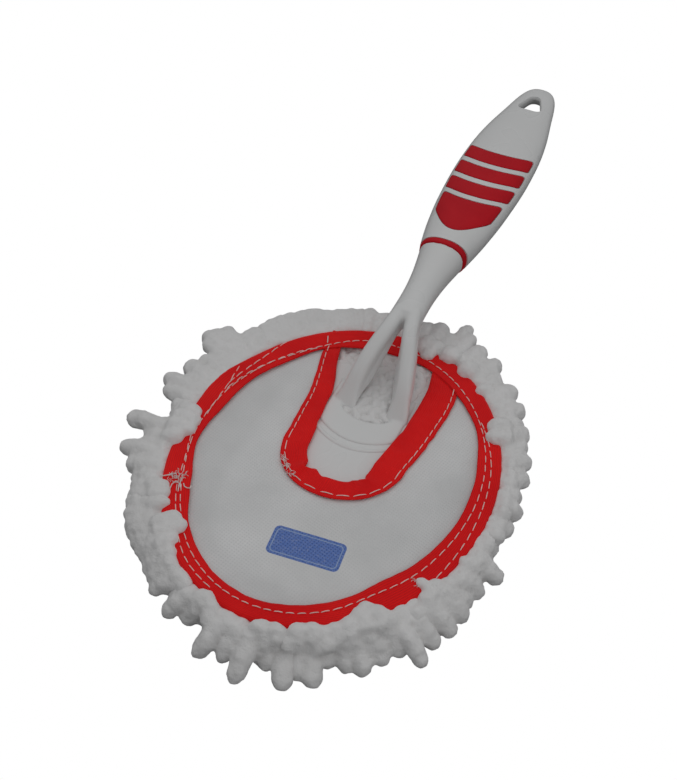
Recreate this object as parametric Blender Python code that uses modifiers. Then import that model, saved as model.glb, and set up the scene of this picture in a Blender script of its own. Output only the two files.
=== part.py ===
"""A microfiber duster: an oval chenille cover that is pulled over a flat plastic frame with a forked neck.

Metres, +Z up. The origin is on the surface that the pile rests on, under the middle of the oval head.
+Y runs from the head to the tip of the handle. Every driving size is named below.
"""
import math
import random

import bmesh
import bpy
from mathutils import Matrix, Vector

# Room left between two pieces that touch
GAP = 0.0003

# Oval head: the bound edge of the washable cover
HEAD_HALF_WIDTH = 0.077
HEAD_HALF_LENGTH = 0.093
BINDING_WIDTH = 0.0112
TAPE_THICKNESS = 0.0007
OVAL_SIDES = 48

# Height of each layer of the cover, from the surface that it rests on
FINGER_DROP = 0.0092
MAT_THICKNESS = 0.0018
CLOTH_THICKNESS = 0.0008

# Frame plate that fills the pocket: its room inside the bound edge, and the open notch between its two arms
PLATE_SIDE_ROOM = 0.0165
PLATE_END_ROOM = 0.0195
PLATE_THICKNESS = 0.0025
PLATE_EDGE_ROUNDING = 0.0008
NOTCH_HALF_WIDTH = 0.0165
NOTCH_LENGTH = 0.0420
NOTCH_CORNER = 0.013
FORK_BASE_RISE = 0.0018
FORK_BASE_HALF_WIDTH = 0.0170
FORK_BASE_BACK_HALF_WIDTH = 0.0188
FORK_BASE_AHEAD = 0.0150
FORK_BASE_SAG = 0.006
FORK_BASE_LENGTH = 0.0355

# Fork and neck: lengths along the handle, and heights above the top of the binding
FORK_FOOT_BEHIND = 0.0115
FORK_FOOT_X = 0.0134
PRONG_REACH = 0.0410
NECK_LENGTH = 0.0503
PRONG_WIDTH = 0.0088
PRONG_HEIGHT = 0.0115
PRONG_FLARE_SHARE = 1.7
NECK_WIDTH = 0.0168
NECK_HEIGHT = 0.0148
NECK_RISE = 0.0215
COLLAR_RISE = 0.0240
COLLAR_WIDTH = 0.0052
COLLAR_SEAT_DEPTH = 0.0014
COLLAR_PROUD = 0.0005
SPIGOT_LENGTH = 0.028
SPIGOT_WIDTH = 0.0190
SPIGOT_HEIGHT = 0.0130

# Hollow grip
GRIP_LENGTH = 0.1744
GRIP_WIDTH = 0.0432
GRIP_HEIGHT = 0.0196
GRIP_MID_RISE = 0.0258
GRIP_TIP_RISE = 0.0264
GRIP_WALL = 0.0024
GRIP_SOLID_TIP = 0.046
HOLE_FROM_TIP = 0.0245
HOLE_WIDTH = 0.0130
HOLE_LENGTH = 0.0165
HOLE_CORNER = 0.0032
SECTION_POWER = 2.3
GRIP_SIDES = 26

# Soft inlays on the top of the grip
INLAY_DEPTH = 0.0011
INLAY_PROUD = 0.0004
BAND_WIDTH = 0.0118
BAND_PITCH = 0.0163
BAND_HALF_LENGTH = 0.0196
BAND_SMILE = 0.0078
BAND_COUNT = 3
FIRST_BAND_FROM_COLLAR = 0.0496
PAD_HALF_WIDTH = 0.0188
PAD_TOP_FROM_COLLAR = 0.0395
PAD_BOTTOM_FROM_COLLAR = 0.0121
PAD_BOTTOM_SAG = 0.0180

# Mouth of the pocket: inner edge, and how far its tape reaches beyond it on each side
MOUTH_LENGTH = 0.1030
MOUTH_BACK_HALF_WIDTH = 0.0252
MOUTH_FRONT_HALF_WIDTH = 0.0172
MOUTH_BEND_LENGTH = 0.0180
MOUTH_SHIFT = 0.0010
MOUTH_TAPE_LEFT = 0.0098
MOUTH_TAPE_RIGHT = 0.0145
MOUTH_TAPE_FRONT = 0.0110

# Chenille fingers
PILE_PITCH = 0.0102
PILE_ROOT = 0.0066
PILE_TIP = 0.0078
PILE_LEAN = 0.0011
PILE_EDGE_MARGIN = 0.0048
PILE_SIDE_ROOM = 0.0005
PILE_END_ROOM = 0.0063
PILE_STRIP_SHARES = (0.0, 0.18, 0.35, 0.65, 0.82, 1.0)
FLOOR_CUT = 0.0005
FRINGE_SECTORS = 10
FRINGE_COLUMNS = 6
FRINGE_ROLL = 0.0040
FRINGE_ROLL_LOW = 0.0052
FRINGE_ROLL_HIGH = 0.0168
FINGER_ROOT = 0.0062
FINGER_WIDTH = 0.0074
FINGER_TIP = 0.0046
FINGER_STEP = 0.0068
LINING_FINGER = 0.0056
LINING_PITCH = 0.0068
LINING_HEIGHT = 0.0027
LINING_LOW = 0.0010

# How far chenille fingers lift from level, in degrees, one range for each step along them
UPPER_LIFTS = ((2, 30), (-30, 0), (-74, -38))
LOWER_LIFTS = ((-34, -26), (-52, -44))

# Heights that follow from the layers
MAT_BOTTOM = FINGER_DROP
MAT_TOP = MAT_BOTTOM + MAT_THICKNESS
BINDING_BOTTOM = MAT_TOP + GAP
BASE_BOTTOM = BINDING_BOTTOM + TAPE_THICKNESS + GAP
BASE_TOP = BASE_BOTTOM + CLOTH_THICKNESS
PLATE_BOTTOM = BASE_TOP + GAP
PLATE_TOP = PLATE_BOTTOM + PLATE_THICKNESS
MOUTH_BOTTOM = PLATE_TOP + GAP
PANEL_BOTTOM = MOUTH_BOTTOM + TAPE_THICKNESS + GAP
PANEL_TOP = PANEL_BOTTOM + CLOTH_THICKNESS
BINDING_TOP = PANEL_TOP + GAP + TAPE_THICKNESS

# The plate, and the places along the head and the handle, follow from the head's oval
PLATE_HALF_WIDTH = HEAD_HALF_WIDTH - PLATE_SIDE_ROOM
PLATE_HALF_LENGTH = HEAD_HALF_LENGTH - PLATE_END_ROOM
NOTCH_FRONT_Y = PLATE_HALF_LENGTH - NOTCH_LENGTH
FORK_BASE_FRONT_Y = NOTCH_FRONT_Y - FORK_BASE_AHEAD
FORK_BASE_BACK_Y = FORK_BASE_FRONT_Y + FORK_BASE_LENGTH
FORK_FOOT_Y = NOTCH_FRONT_Y + FORK_FOOT_BEHIND
FORK_SPLIT_Y = FORK_FOOT_Y + PRONG_REACH
MOUTH_FRONT_Y = HEAD_HALF_LENGTH - MOUTH_LENGTH
MOUTH_BEND_Y = MOUTH_FRONT_Y + MOUTH_BEND_LENGTH
COLLAR_Y = FORK_SPLIT_Y + NECK_LENGTH
COLLAR_FRONT_Y = COLLAR_Y - COLLAR_WIDTH / 2
COLLAR_BACK_Y = COLLAR_Y + COLLAR_WIDTH / 2
GRIP_FRONT_Y = COLLAR_BACK_Y + GAP
GRIP_TIP_Y = GRIP_FRONT_Y + GRIP_LENGTH

# Shares of the grip's length and of its half width and half height
GRIP_WIDTH_SHARES = ((0.0, 0.640), (0.067, 0.745), (0.125, 0.818), (0.228, 0.916), (0.390, 0.997),
                     (0.500, 1.0), (0.607, 0.960), (0.710, 0.860), (0.819, 0.702), (0.900, 0.585),
                     (0.950, 0.475), (0.982, 0.325), (1.0, 0.090))
GRIP_HEIGHT_SHARES = ((0.0, 1.060), (0.20, 1.035), (0.45, 0.980), (0.65, 0.900), (0.84, 0.700),
                      (0.95, 0.520), (0.982, 0.380), (1.0, 0.090))
GRIP_STATION_SHARES = (0.0, 0.06, 0.13, 0.21, 0.29, 0.37, 0.45, 0.53, 0.61, 0.69, 0.77, 0.84, 0.90,
                       0.945, 0.975, 0.992, 1.0)
NECK_WIDTH_SHARES = ((0.0, 1.02), (0.22, 0.985), (0.40, 1.015), (0.58, 1.12), (0.76, 1.29), (1.0, 1.56))
NECK_HEIGHT_SHARES = ((0.0, 0.94), (0.35, 1.0), (0.7, 1.16), (1.0, 1.40))

# Sections of chenille fingers, as shares of their width and height, from the root to the tip
UPPER_HEIGHT_SHARES = (0.75, 0.84, 1.0, 1.0)
LOWER_HEIGHT_SHARES = (0.60, 0.63, 0.80)
LOWER_STEP_SHARES = (0.75, 0.60)
LINING_SHARES = (0.8, 1.0, 0.6)
LINING_LEAN_SHARE = 0.05

COLOURS = {
    "satin_white_plastic": ((0.86, 0.86, 0.85), 0.34),
    "crimson_rubber": ((0.36, 0.012, 0.030), 0.52),
    "red_tape": ((0.66, 0.020, 0.018), 0.85),
    "white_cloth": ((0.80, 0.80, 0.79), 0.92),
    "white_chenille": ((0.84, 0.84, 0.83), 0.97),
}


def clear_scene():
    for obj in list(bpy.data.objects):
        bpy.data.objects.remove(obj, do_unlink=True)


def make_collection(name):
    collection = bpy.data.collections.new(name)
    bpy.context.scene.collection.children.link(collection)
    return collection


def make_material(node_name, finish):
    colour, roughness = COLOURS[finish]
    material = bpy.data.materials.new(f"{node_name}_{finish}")
    material.use_nodes = True
    shader = material.node_tree.nodes["Principled BSDF"]
    shader.inputs["Base Color"].default_value = (*colour, 1.0)
    shader.inputs["Roughness"].default_value = roughness
    shader.inputs["Metallic"].default_value = 0.0
    return material


def add_part(name, mesh, finish, smooth_angle=35.0):
    """Names a mesh as one sub-part, with a material of its own."""
    mesh.name = name
    mesh.materials.clear()
    mesh.materials.append(make_material(name, finish))
    mesh.shade_smooth()
    mesh.set_sharp_from_angle(angle=math.radians(smooth_angle))
    obj = bpy.data.objects.new(name, mesh)
    PARTS.objects.link(obj)
    return obj


def add_cutter(name, mesh):
    obj = bpy.data.objects.new(name, mesh)
    obj.hide_render = True
    obj.display_type = "WIRE"
    CUTTERS.objects.link(obj)
    return obj


def combine(obj, other, operation):
    """Adds a Boolean with another object: DIFFERENCE, UNION or INTERSECT."""
    modifier = obj.modifiers.new(f"{operation.lower()}_{other.name}", "BOOLEAN")
    modifier.operation = operation
    modifier.object = other
    return obj


def round_edges(obj, width, angle=40.0):
    modifier = obj.modifiers.new("rounded_edges", "BEVEL")
    modifier.width = width
    modifier.segments = 2
    modifier.limit_method = "ANGLE"
    modifier.angle_limit = math.radians(angle)
    return obj


def smooth_between(pairs, place):
    """Reads a smooth curve through hand-chosen (place, value) pairs."""
    last = len(pairs) - 2
    index = min(max(sum(1 for at, _ in pairs[1:-1] if place >= at), 0), last)
    (x0, y0), (x1, y1) = pairs[index], pairs[index + 1]

    def slope(i):
        low, high = pairs[max(i - 1, 0)], pairs[min(i + 1, len(pairs) - 1)]
        return (high[1] - low[1]) / (high[0] - low[0])

    t = (place - x0) / (x1 - x0)
    span = x1 - x0
    return ((2 * t**3 - 3 * t**2 + 1) * y0 + (t**3 - 2 * t**2 + t) * span * slope(index)
            + (3 * t**2 - 2 * t**3) * y1 + (t**3 - t**2) * span * slope(index + 1))


def mesh_from(bm, name):
    bmesh.ops.recalc_face_normals(bm, faces=bm.faces)
    mesh = bpy.data.meshes.new(name)
    bm.to_mesh(mesh)
    bm.free()
    return mesh


def loft(bm, rings):
    """Skins a row of closed sections that have the same number of points, and caps both ends.

    Returns the faces between each section and the next, in the order of their points."""
    rows = [[bm.verts.new(point) for point in ring] for ring in rings]
    walls = []
    for low, high in zip(rows, rows[1:]):
        wall = []
        for i in range(len(low)):
            j = (i + 1) % len(low)
            wall.append(bm.faces.new((low[i], low[j], high[j], high[i])))
        walls.append(wall)
    bm.faces.new(list(reversed(rows[0])))
    bm.faces.new(rows[-1])
    bmesh.ops.recalc_face_normals(bm, faces=bm.faces)
    bm.normal_update()
    return walls


def loft_mesh(name, rings):
    bm = bmesh.new()
    loft(bm, rings)
    return mesh_from(bm, name)


def prism_mesh(name, outline, low, high):
    """Turns a flat outline into a solid between two heights, from a filled and extruded curve."""
    curve = bpy.data.curves.new(name, "CURVE")
    curve.dimensions = "2D"
    curve.fill_mode = "BOTH"
    curve.extrude = (high - low) / 2
    spline = curve.splines.new("POLY")
    spline.points.add(len(outline) - 1)
    for point, (x, y) in zip(spline.points, outline):
        point.co = (x, y, 0.0, 1.0)
    spline.use_cyclic_u = True
    guide = bpy.data.objects.new(name, curve)
    bpy.context.scene.collection.objects.link(guide)
    guide.location.z = (low + high) / 2
    bpy.context.view_layer.update()
    mesh = bpy.data.meshes.new_from_object(guide.evaluated_get(bpy.context.evaluated_depsgraph_get()))
    mesh.transform(guide.matrix_world)
    bpy.data.objects.remove(guide, do_unlink=True)
    bm = bmesh.new()
    bm.from_mesh(mesh)
    bmesh.ops.remove_doubles(bm, verts=bm.verts, dist=GAP / 10)
    bmesh.ops.recalc_face_normals(bm, faces=bm.faces)
    bm.to_mesh(mesh)
    bm.free()
    return mesh


def oval(half_width, half_length, sides=OVAL_SIDES):
    turns = [2 * math.pi * i / sides for i in range(sides)]
    return [(half_width * math.cos(a), half_length * math.sin(a)) for a in turns]


def inset_oval(inset):
    """The bound edge of the head, moved in by a distance measured square to it."""
    points = []
    for i in range(OVAL_SIDES):
        a = 2 * math.pi * i / OVAL_SIDES
        normal = Vector((math.cos(a) / HEAD_HALF_WIDTH, math.sin(a) / HEAD_HALF_LENGTH)).normalized()
        edge = Vector((HEAD_HALF_WIDTH * math.cos(a), HEAD_HALF_LENGTH * math.sin(a)))
        points.append(tuple(edge - normal * inset))
    return points


def mouth_outline(left, right, front, far_y):
    """The U of the pocket's mouth, moved out by a distance on each side and run on to far_y."""
    steps = 14
    corner_power = 2.6
    bend = MOUTH_BEND_Y
    depth = bend - MOUTH_FRONT_Y + front
    lean = (MOUTH_BACK_HALF_WIDTH - MOUTH_FRONT_HALF_WIDTH) / (HEAD_HALF_LENGTH - bend)
    right_front = MOUTH_FRONT_HALF_WIDTH + right
    left_front = MOUTH_FRONT_HALF_WIDTH + left
    spread = lean * (far_y - bend)
    points = [(MOUTH_SHIFT + right_front + spread, far_y)]
    for i in range(steps + 1):
        a = -math.pi * i / steps
        side = right_front if math.cos(a) > 0 else left_front
        x = math.copysign(abs(math.cos(a)) ** (2 / corner_power), math.cos(a)) * side
        y = bend - abs(math.sin(a)) ** (2 / corner_power) * depth
        points.append((MOUTH_SHIFT + x, y))
    points.append((MOUTH_SHIFT - left_front - spread, far_y))
    return points


def handle_rise(y):
    """Height of the handle's middle line above the binding."""
    mid_y = GRIP_FRONT_Y + GRIP_LENGTH / 2
    pairs = ((FORK_SPLIT_Y, NECK_RISE), (COLLAR_Y, COLLAR_RISE), (mid_y, GRIP_MID_RISE),
             (GRIP_TIP_Y, GRIP_TIP_RISE))
    return BINDING_TOP + smooth_between(pairs, y)


def handle_section(y, half_width, half_height, power=SECTION_POWER, sides=GRIP_SIDES):
    """A rounded section of the handle, square to +Y."""
    middle = handle_rise(min(max(y, FORK_SPLIT_Y), GRIP_TIP_Y))
    points = []
    for i in range(sides):
        a = 2 * math.pi * (i + 0.5) / sides
        x = math.copysign(abs(math.cos(a)) ** (2 / power), math.cos(a)) * half_width
        z = math.copysign(abs(math.sin(a)) ** (2 / power), math.sin(a)) * half_height
        points.append((x, y, middle + z))
    return points


def grip_half_sizes(share):
    return (smooth_between(GRIP_WIDTH_SHARES, share) * GRIP_WIDTH / 2,
            smooth_between(GRIP_HEIGHT_SHARES, share) * GRIP_HEIGHT / 2)


def grip_surface(name, offset):
    """The grip's outside, moved out or in by an offset."""
    least_share = 0.2
    rings = []
    for share in GRIP_STATION_SHARES:
        width, height = grip_half_sizes(share)
        y = GRIP_FRONT_Y - offset + share * (GRIP_LENGTH + 2 * offset)
        rings.append(handle_section(y, max(width + offset, width * least_share),
                                    max(height + offset, height * least_share)))
    return loft_mesh(name, rings)


def neck_half_sizes(y):
    share = (y - FORK_SPLIT_Y) / (COLLAR_BACK_Y - FORK_SPLIT_Y)
    return (smooth_between(NECK_WIDTH_SHARES, share) * NECK_WIDTH / 2,
            smooth_between(NECK_HEIGHT_SHARES, share) * NECK_HEIGHT / 2)


def build_neck(name):
    """The neck with the stepped seat of the collar and the spigot that enters the grip."""
    nose_shares = ((0.18, 0.55), (0.08, 0.82))
    rings = []
    for ahead, share in nose_shares:
        width, height = neck_half_sizes(FORK_SPLIT_Y)
        rings.append(handle_section(FORK_SPLIT_Y - NECK_WIDTH * ahead, width * share, height * share))
    neck_steps = 7
    for i in range(neck_steps + 1):
        y = FORK_SPLIT_Y + (COLLAR_FRONT_Y - GAP - FORK_SPLIT_Y) * i / neck_steps
        width, height = neck_half_sizes(y)
        rings.append(handle_section(y, width, height))
    for y in (COLLAR_FRONT_Y - GAP, COLLAR_BACK_Y):
        width, height = neck_half_sizes(y)
        rings.append(handle_section(y, width - COLLAR_SEAT_DEPTH, height - COLLAR_SEAT_DEPTH))
    for y in (COLLAR_BACK_Y, COLLAR_BACK_Y + SPIGOT_LENGTH):
        rings.append(handle_section(y, SPIGOT_WIDTH / 2, SPIGOT_HEIGHT / 2))
    return loft_mesh(name, rings)


def build_prong(name, side):
    """One leg of the fork, wider below on its inner side, from the plate up to the neck."""
    foot = Vector((side * FORK_FOOT_X, FORK_FOOT_Y, PLATE_BOTTOM + PLATE_THICKNESS / 2))
    top = Vector((side * NECK_WIDTH / 5, FORK_SPLIT_Y + NECK_WIDTH / 4, BINDING_TOP + NECK_RISE))
    run = top - foot
    bend_shares = ((0.0, 0.0, 0.0), (0.16, 0.20, 0.36), (0.42, 0.45, 0.66), (0.76, 0.72, 0.89),
                   (1.0, 1.0, 1.0))
    centres = [foot + Vector((run.x * across, run.y * along, run.z * up)) for across, along, up in bend_shares]
    width_shares = (1.0, 1.0, 0.95, 0.92, 0.90)
    height_shares = (1.25, 1.15, 1.0, 1.0, 1.0)
    flare_shares = (1.0, PRONG_FLARE_SHARE, PRONG_FLARE_SHARE, 1.2, 1.0)
    sides = 16
    rings = []
    for i, centre in enumerate(centres):
        before, after = centres[max(i - 1, 0)], centres[min(i + 1, len(centres) - 1)]
        along = (after - before).normalized()
        across = Vector((1.0, 0.0, 0.0)) - along * along.x
        across.normalize()
        up = across.cross(along)
        ring = []
        for k in range(sides):
            a = 2 * math.pi * k / sides
            u = math.copysign(abs(math.cos(a)) ** (2 / SECTION_POWER), math.cos(a)) * PRONG_WIDTH / 2
            v = math.copysign(abs(math.sin(a)) ** (2 / SECTION_POWER), math.sin(a)) * PRONG_HEIGHT / 2
            if u * side < 0 and v < 0:
                u *= flare_shares[i]
            ring.append(centre + across * u * width_shares[i] + up * v * height_shares[i])
        rings.append(ring)
    return loft_mesh(name, rings)


def notch_outline():
    """The opening between the plate's arms, round at the front and open at the back."""
    steps = 10
    points = [(NOTCH_HALF_WIDTH, HEAD_HALF_LENGTH)]
    for i in range(steps + 1):
        a = -math.pi * i / steps
        points.append((NOTCH_HALF_WIDTH * math.cos(a),
                       NOTCH_FRONT_Y + NOTCH_CORNER + NOTCH_CORNER * math.sin(a)))
    points.append((-NOTCH_HALF_WIDTH, HEAD_HALF_LENGTH))
    return points


def fork_base_outline():
    """The raised floor under the fork, with a curved step at its front."""
    steps = 8
    points = []
    for i in range(steps + 1):
        share = 1 - 2 * i / steps
        x = FORK_BASE_HALF_WIDTH * share
        y = FORK_BASE_FRONT_Y + FORK_BASE_SAG * share**2
        points.append((x, y))
    points.append((-FORK_BASE_BACK_HALF_WIDTH, FORK_BASE_BACK_Y))
    points.append((FORK_BASE_BACK_HALF_WIDTH, FORK_BASE_BACK_Y))
    return points


def build_head_frame():
    """Plate, fork, neck and spigot: one white moulding."""
    frame = add_part("head_frame", prism_mesh("head_frame", oval(PLATE_HALF_WIDTH, PLATE_HALF_LENGTH),
                                              PLATE_BOTTOM, PLATE_TOP), "satin_white_plastic")
    base_mesh = prism_mesh("fork_base", fork_base_outline(), PLATE_BOTTOM + PLATE_THICKNESS / 2,
                           PLATE_TOP + FORK_BASE_RISE)
    base = add_cutter("fork_base", base_mesh)
    notch = add_cutter("notch", prism_mesh("notch", notch_outline(), 0, BINDING_TOP + NECK_RISE))
    combine(frame, base, "UNION")
    combine(frame, notch, "DIFFERENCE")
    round_edges(frame, PLATE_EDGE_ROUNDING)
    fork = add_cutter("neck", build_neck("neck"))
    for label, side in (("left", -1), ("right", 1)):
        prong = add_cutter(f"prong_{label}", build_prong(f"prong_{label}", side))
        combine(fork, prong, "UNION")
    under = prism_mesh("under_plate", oval(PLATE_HALF_WIDTH, PLATE_HALF_LENGTH),
                       0, PLATE_TOP - PLATE_THICKNESS / 8)
    combine(fork, add_cutter("under_plate", under), "DIFFERENCE")
    combine(frame, fork, "UNION")
    return frame


def build_collar():
    """Soft ring that hides the joint between the neck and the grip."""
    outside = []
    inside = []
    for y in (COLLAR_FRONT_Y, COLLAR_Y, COLLAR_BACK_Y):
        width, height = neck_half_sizes(y)
        proud = COLLAR_PROUD if y == COLLAR_Y else 0
        outside.append(handle_section(y, width + proud, height + proud))
    for y in (COLLAR_FRONT_Y - GAP, COLLAR_BACK_Y + GAP):
        width, height = neck_half_sizes(y)
        depth = COLLAR_SEAT_DEPTH - GAP
        inside.append(handle_section(y, width - depth, height - depth))
    collar = add_part("collar_ring", loft_mesh("collar_ring", outside), "crimson_rubber")
    return combine(collar, add_cutter("collar_bore", loft_mesh("collar_bore", inside)), "DIFFERENCE")


def build_cavity():
    """Inside of the grip: a socket for the spigot, then a hollow that follows the walls."""
    rings = []
    socket_end = COLLAR_BACK_Y + SPIGOT_LENGTH + GAP
    for y in (GRIP_FRONT_Y - SPIGOT_WIDTH, socket_end):
        rings.append(handle_section(y, SPIGOT_WIDTH / 2 + GAP, SPIGOT_HEIGHT / 2 + GAP))
    hollow_end = GRIP_TIP_Y - GRIP_SOLID_TIP
    hollow_steps = 8
    for i in range(hollow_steps + 1):
        y = socket_end + GRIP_WALL + (hollow_end - socket_end - GRIP_WALL) * i / hollow_steps
        width, height = grip_half_sizes((y - GRIP_FRONT_Y) / GRIP_LENGTH)
        rings.append(handle_section(y, width - GRIP_WALL, height - GRIP_WALL))
    return loft_mesh("grip_cavity", rings)


def hang_hole_outline():
    """A rounded triangle that narrows towards the tip."""
    corners = [Vector((HOLE_WIDTH / 2 - HOLE_CORNER, -HOLE_LENGTH / 2 + HOLE_CORNER)),
               Vector((0, HOLE_LENGTH / 2 - HOLE_CORNER)),
               Vector((-HOLE_WIDTH / 2 + HOLE_CORNER, -HOLE_LENGTH / 2 + HOLE_CORNER))]
    middle = Vector((0, GRIP_TIP_Y - HOLE_FROM_TIP))
    points = []
    steps = 5
    for i, corner in enumerate(corners):
        before, after = corners[i - 1], corners[(i + 1) % 3]
        start = math.atan2(-(corner - before).x, (corner - before).y)
        end = math.atan2(-(after - corner).x, (after - corner).y)
        while end < start:
            end += 2 * math.pi
        for k in range(steps + 1):
            a = start + (end - start) * k / steps
            points.append(tuple(middle + corner + Vector((math.cos(a), math.sin(a))) * HOLE_CORNER))
    return points


def smile(x, half_length, rise):
    smile_power = 2.4
    return rise * abs(x / half_length) ** smile_power


def band_outline(middle_y, grow):
    """A band with round ends whose middle sags towards the head, made larger by grow."""
    half = BAND_HALF_LENGTH - BAND_WIDTH / 3
    steps = 8
    end_turns = (-0.9, 0.0, 0.9)
    reach = BAND_WIDTH / 2 + grow
    lower = []
    upper = []
    for i in range(steps + 1):
        x = half * (2 * i / steps - 1)
        y = middle_y + smile(x, BAND_HALF_LENGTH, BAND_SMILE)
        lower.append((x, y - reach))
        upper.append((x, y + reach))
    end_y = middle_y + smile(half, BAND_HALF_LENGTH, BAND_SMILE)
    bulge = BAND_WIDTH / 3 + grow
    right = [(half + bulge * math.cos(a), end_y + bulge / 2 + reach * math.sin(a)) for a in end_turns]
    left = [(-x, y) for x, y in reversed(right)]
    return lower + right + upper[::-1] + left


def pad_outline(grow):
    """The thumb pad: a smiling top edge and a deep round bottom."""
    top_y = COLLAR_Y + PAD_TOP_FROM_COLLAR + grow
    bottom_y = COLLAR_Y + PAD_BOTTOM_FROM_COLLAR - grow
    half = PAD_HALF_WIDTH + grow
    steps = 12
    lower = []
    upper = []
    for i in range(steps + 1):
        x = half * (2 * i / steps - 1)
        lower.append((x, bottom_y + PAD_BOTTOM_SAG * (x / half) ** 2))
        upper.append((x, top_y + smile(x, BAND_HALF_LENGTH, BAND_SMILE)))
    return lower + upper[::-1]


def build_grip():
    """The hollow grip with its soft inlays in shallow recesses."""
    top_z = BINDING_TOP + GRIP_MID_RISE
    above = top_z + GRIP_HEIGHT
    grip = add_part("grip", grip_surface("grip", 0), "satin_white_plastic")
    combine(grip, add_cutter("grip_cavity", build_cavity()), "DIFFERENCE")
    hole = add_cutter("hang_hole", prism_mesh("hang_hole", hang_hole_outline(), top_z - GRIP_HEIGHT, above))
    combine(grip, hole, "DIFFERENCE")
    recess_floor = add_cutter("recess_floor", grip_surface("recess_floor", -INLAY_DEPTH))
    inlay_bed = add_cutter("inlay_bed", grip_surface("inlay_bed", GAP - INLAY_DEPTH))
    inlay_skin = add_cutter("inlay_skin", grip_surface("inlay_skin", INLAY_PROUD))
    shapes = [("thumb_pad", pad_outline)]
    for i in range(BAND_COUNT):
        middle_y = COLLAR_Y + FIRST_BAND_FROM_COLLAR + i * BAND_PITCH
        shapes.append((f"grip_band_{i + 1}", lambda grow, y=middle_y: band_outline(y, grow)))
    for name, outline in shapes:
        recess = add_cutter(f"{name}_recess", prism_mesh(f"{name}_recess", outline(0), top_z, above))
        combine(recess, recess_floor, "DIFFERENCE")
        combine(grip, recess, "DIFFERENCE")
        inlay = add_part(name, prism_mesh(name, outline(-GAP), top_z, above), "crimson_rubber")
        combine(inlay, inlay_skin, "INTERSECT")
        combine(inlay, inlay_bed, "DIFFERENCE")
    return grip


def folded_tape(name, mesh, slot):
    """A tape folded over the edge of the cloth: a solid with a slot for the cloth."""
    tape = add_part(name, mesh, "red_tape")
    return combine(tape, add_cutter(f"{name}_slot", slot), "DIFFERENCE")


def build_cover():
    """Base cloth, pocket panel and the two red bindings."""
    edge = TAPE_THICKNESS + GAP
    add_part("base_cloth", prism_mesh("base_cloth", inset_oval(edge), BASE_BOTTOM, BASE_TOP), "white_cloth")

    binding = folded_tape(
        "outer_binding",
        prism_mesh("outer_binding", inset_oval(0), BINDING_BOTTOM, BINDING_TOP),
        prism_mesh("outer_binding_slot", inset_oval(TAPE_THICKNESS), BINDING_BOTTOM + TAPE_THICKNESS,
                   BINDING_TOP - TAPE_THICKNESS))
    inside = prism_mesh("binding_inside", inset_oval(BINDING_WIDTH), 0, BINDING_TOP + GRIP_HEIGHT)
    combine(binding, add_cutter("binding_inside", inside), "DIFFERENCE")

    panel = add_part("pocket_panel", prism_mesh("pocket_panel", inset_oval(edge), PANEL_BOTTOM, PANEL_TOP),
                     "white_cloth")
    notch = mouth_outline(edge, edge, edge, HEAD_HALF_LENGTH + BINDING_WIDTH)
    combine(panel, add_cutter("panel_notch", prism_mesh("panel_notch", notch, 0, BINDING_TOP)), "DIFFERENCE")

    far_y = HEAD_HALF_LENGTH
    outer = mouth_outline(MOUTH_TAPE_LEFT, MOUTH_TAPE_RIGHT, MOUTH_TAPE_FRONT, far_y)
    mouth_mesh = prism_mesh("mouth_binding", outer, MOUTH_BOTTOM, BINDING_TOP)
    mouth = add_part("mouth_binding", mouth_mesh, "red_tape")
    inner = mouth_outline(0, 0, 0, far_y + BINDING_WIDTH)
    above = BINDING_TOP + BINDING_WIDTH
    combine(mouth, add_cutter("mouth_inside", prism_mesh("mouth_inside", inner, 0, above)), "DIFFERENCE")
    slot_mesh = prism_mesh("mouth_slot", inset_oval(0), PANEL_BOTTOM - GAP, PANEL_TOP + GAP)
    slot = add_cutter("mouth_slot", slot_mesh)
    wrap = mouth_outline(TAPE_THICKNESS, TAPE_THICKNESS, TAPE_THICKNESS, far_y + BINDING_WIDTH)
    combine(slot, add_cutter("mouth_wrap", prism_mesh("mouth_wrap", wrap, 0, BINDING_TOP)), "DIFFERENCE")
    combine(mouth, slot, "DIFFERENCE")
    field = prism_mesh("mouth_field", inset_oval(BINDING_WIDTH + GAP), 0, above)
    combine(mouth, add_cutter("mouth_field", field), "INTERSECT")


def grow_finger(bm, face, centres, widths, across):
    """Extrudes a face of the backing along a path, as one chenille finger with four sides."""
    root = face.calc_center_median()
    corners = [vert.co - root for vert in face.verts]
    along = face.normal.copy()
    side = (across - along * along.dot(across)).normalized()
    up = along.cross(side)
    flat = [(math.copysign(0.5, c.dot(side)), math.copysign(0.5, c.dot(up))) for c in corners]
    places = [root] + [root + offset for offset in centres]
    for i, (place, (wide, high)) in enumerate(zip(places, widths)):
        if i > 0:
            nearby = places[min(i + 1, len(places) - 1)] - places[i - 1]
            along = nearby.normalized()
            side = (across - along * along.dot(across)).normalized()
            up = along.cross(side)
        face = bmesh.ops.extrude_discrete_faces(bm, faces=[face])["faces"][0]
        for vert, (a, b) in zip(face.verts, flat):
            vert.co = place + side * (a * wide) + up * (b * high)


def grid_of_cells(columns, rows, pitch_x, pitch_y, middle, height, keep):
    """A flat grid of cells, less the cells whose centres fail a test."""
    bm = bmesh.new()
    size = Matrix.Diagonal((pitch_x * columns, pitch_y * rows, 1.0, 1.0))
    place = Matrix.Translation((*middle, height)) @ size
    bmesh.ops.create_grid(bm, x_segments=columns, y_segments=rows, size=0.5, matrix=place)
    away = [face for face in bm.faces if not keep(face.calc_center_median())]
    bmesh.ops.delete(bm, geom=away, context="FACES")
    return bm


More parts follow.
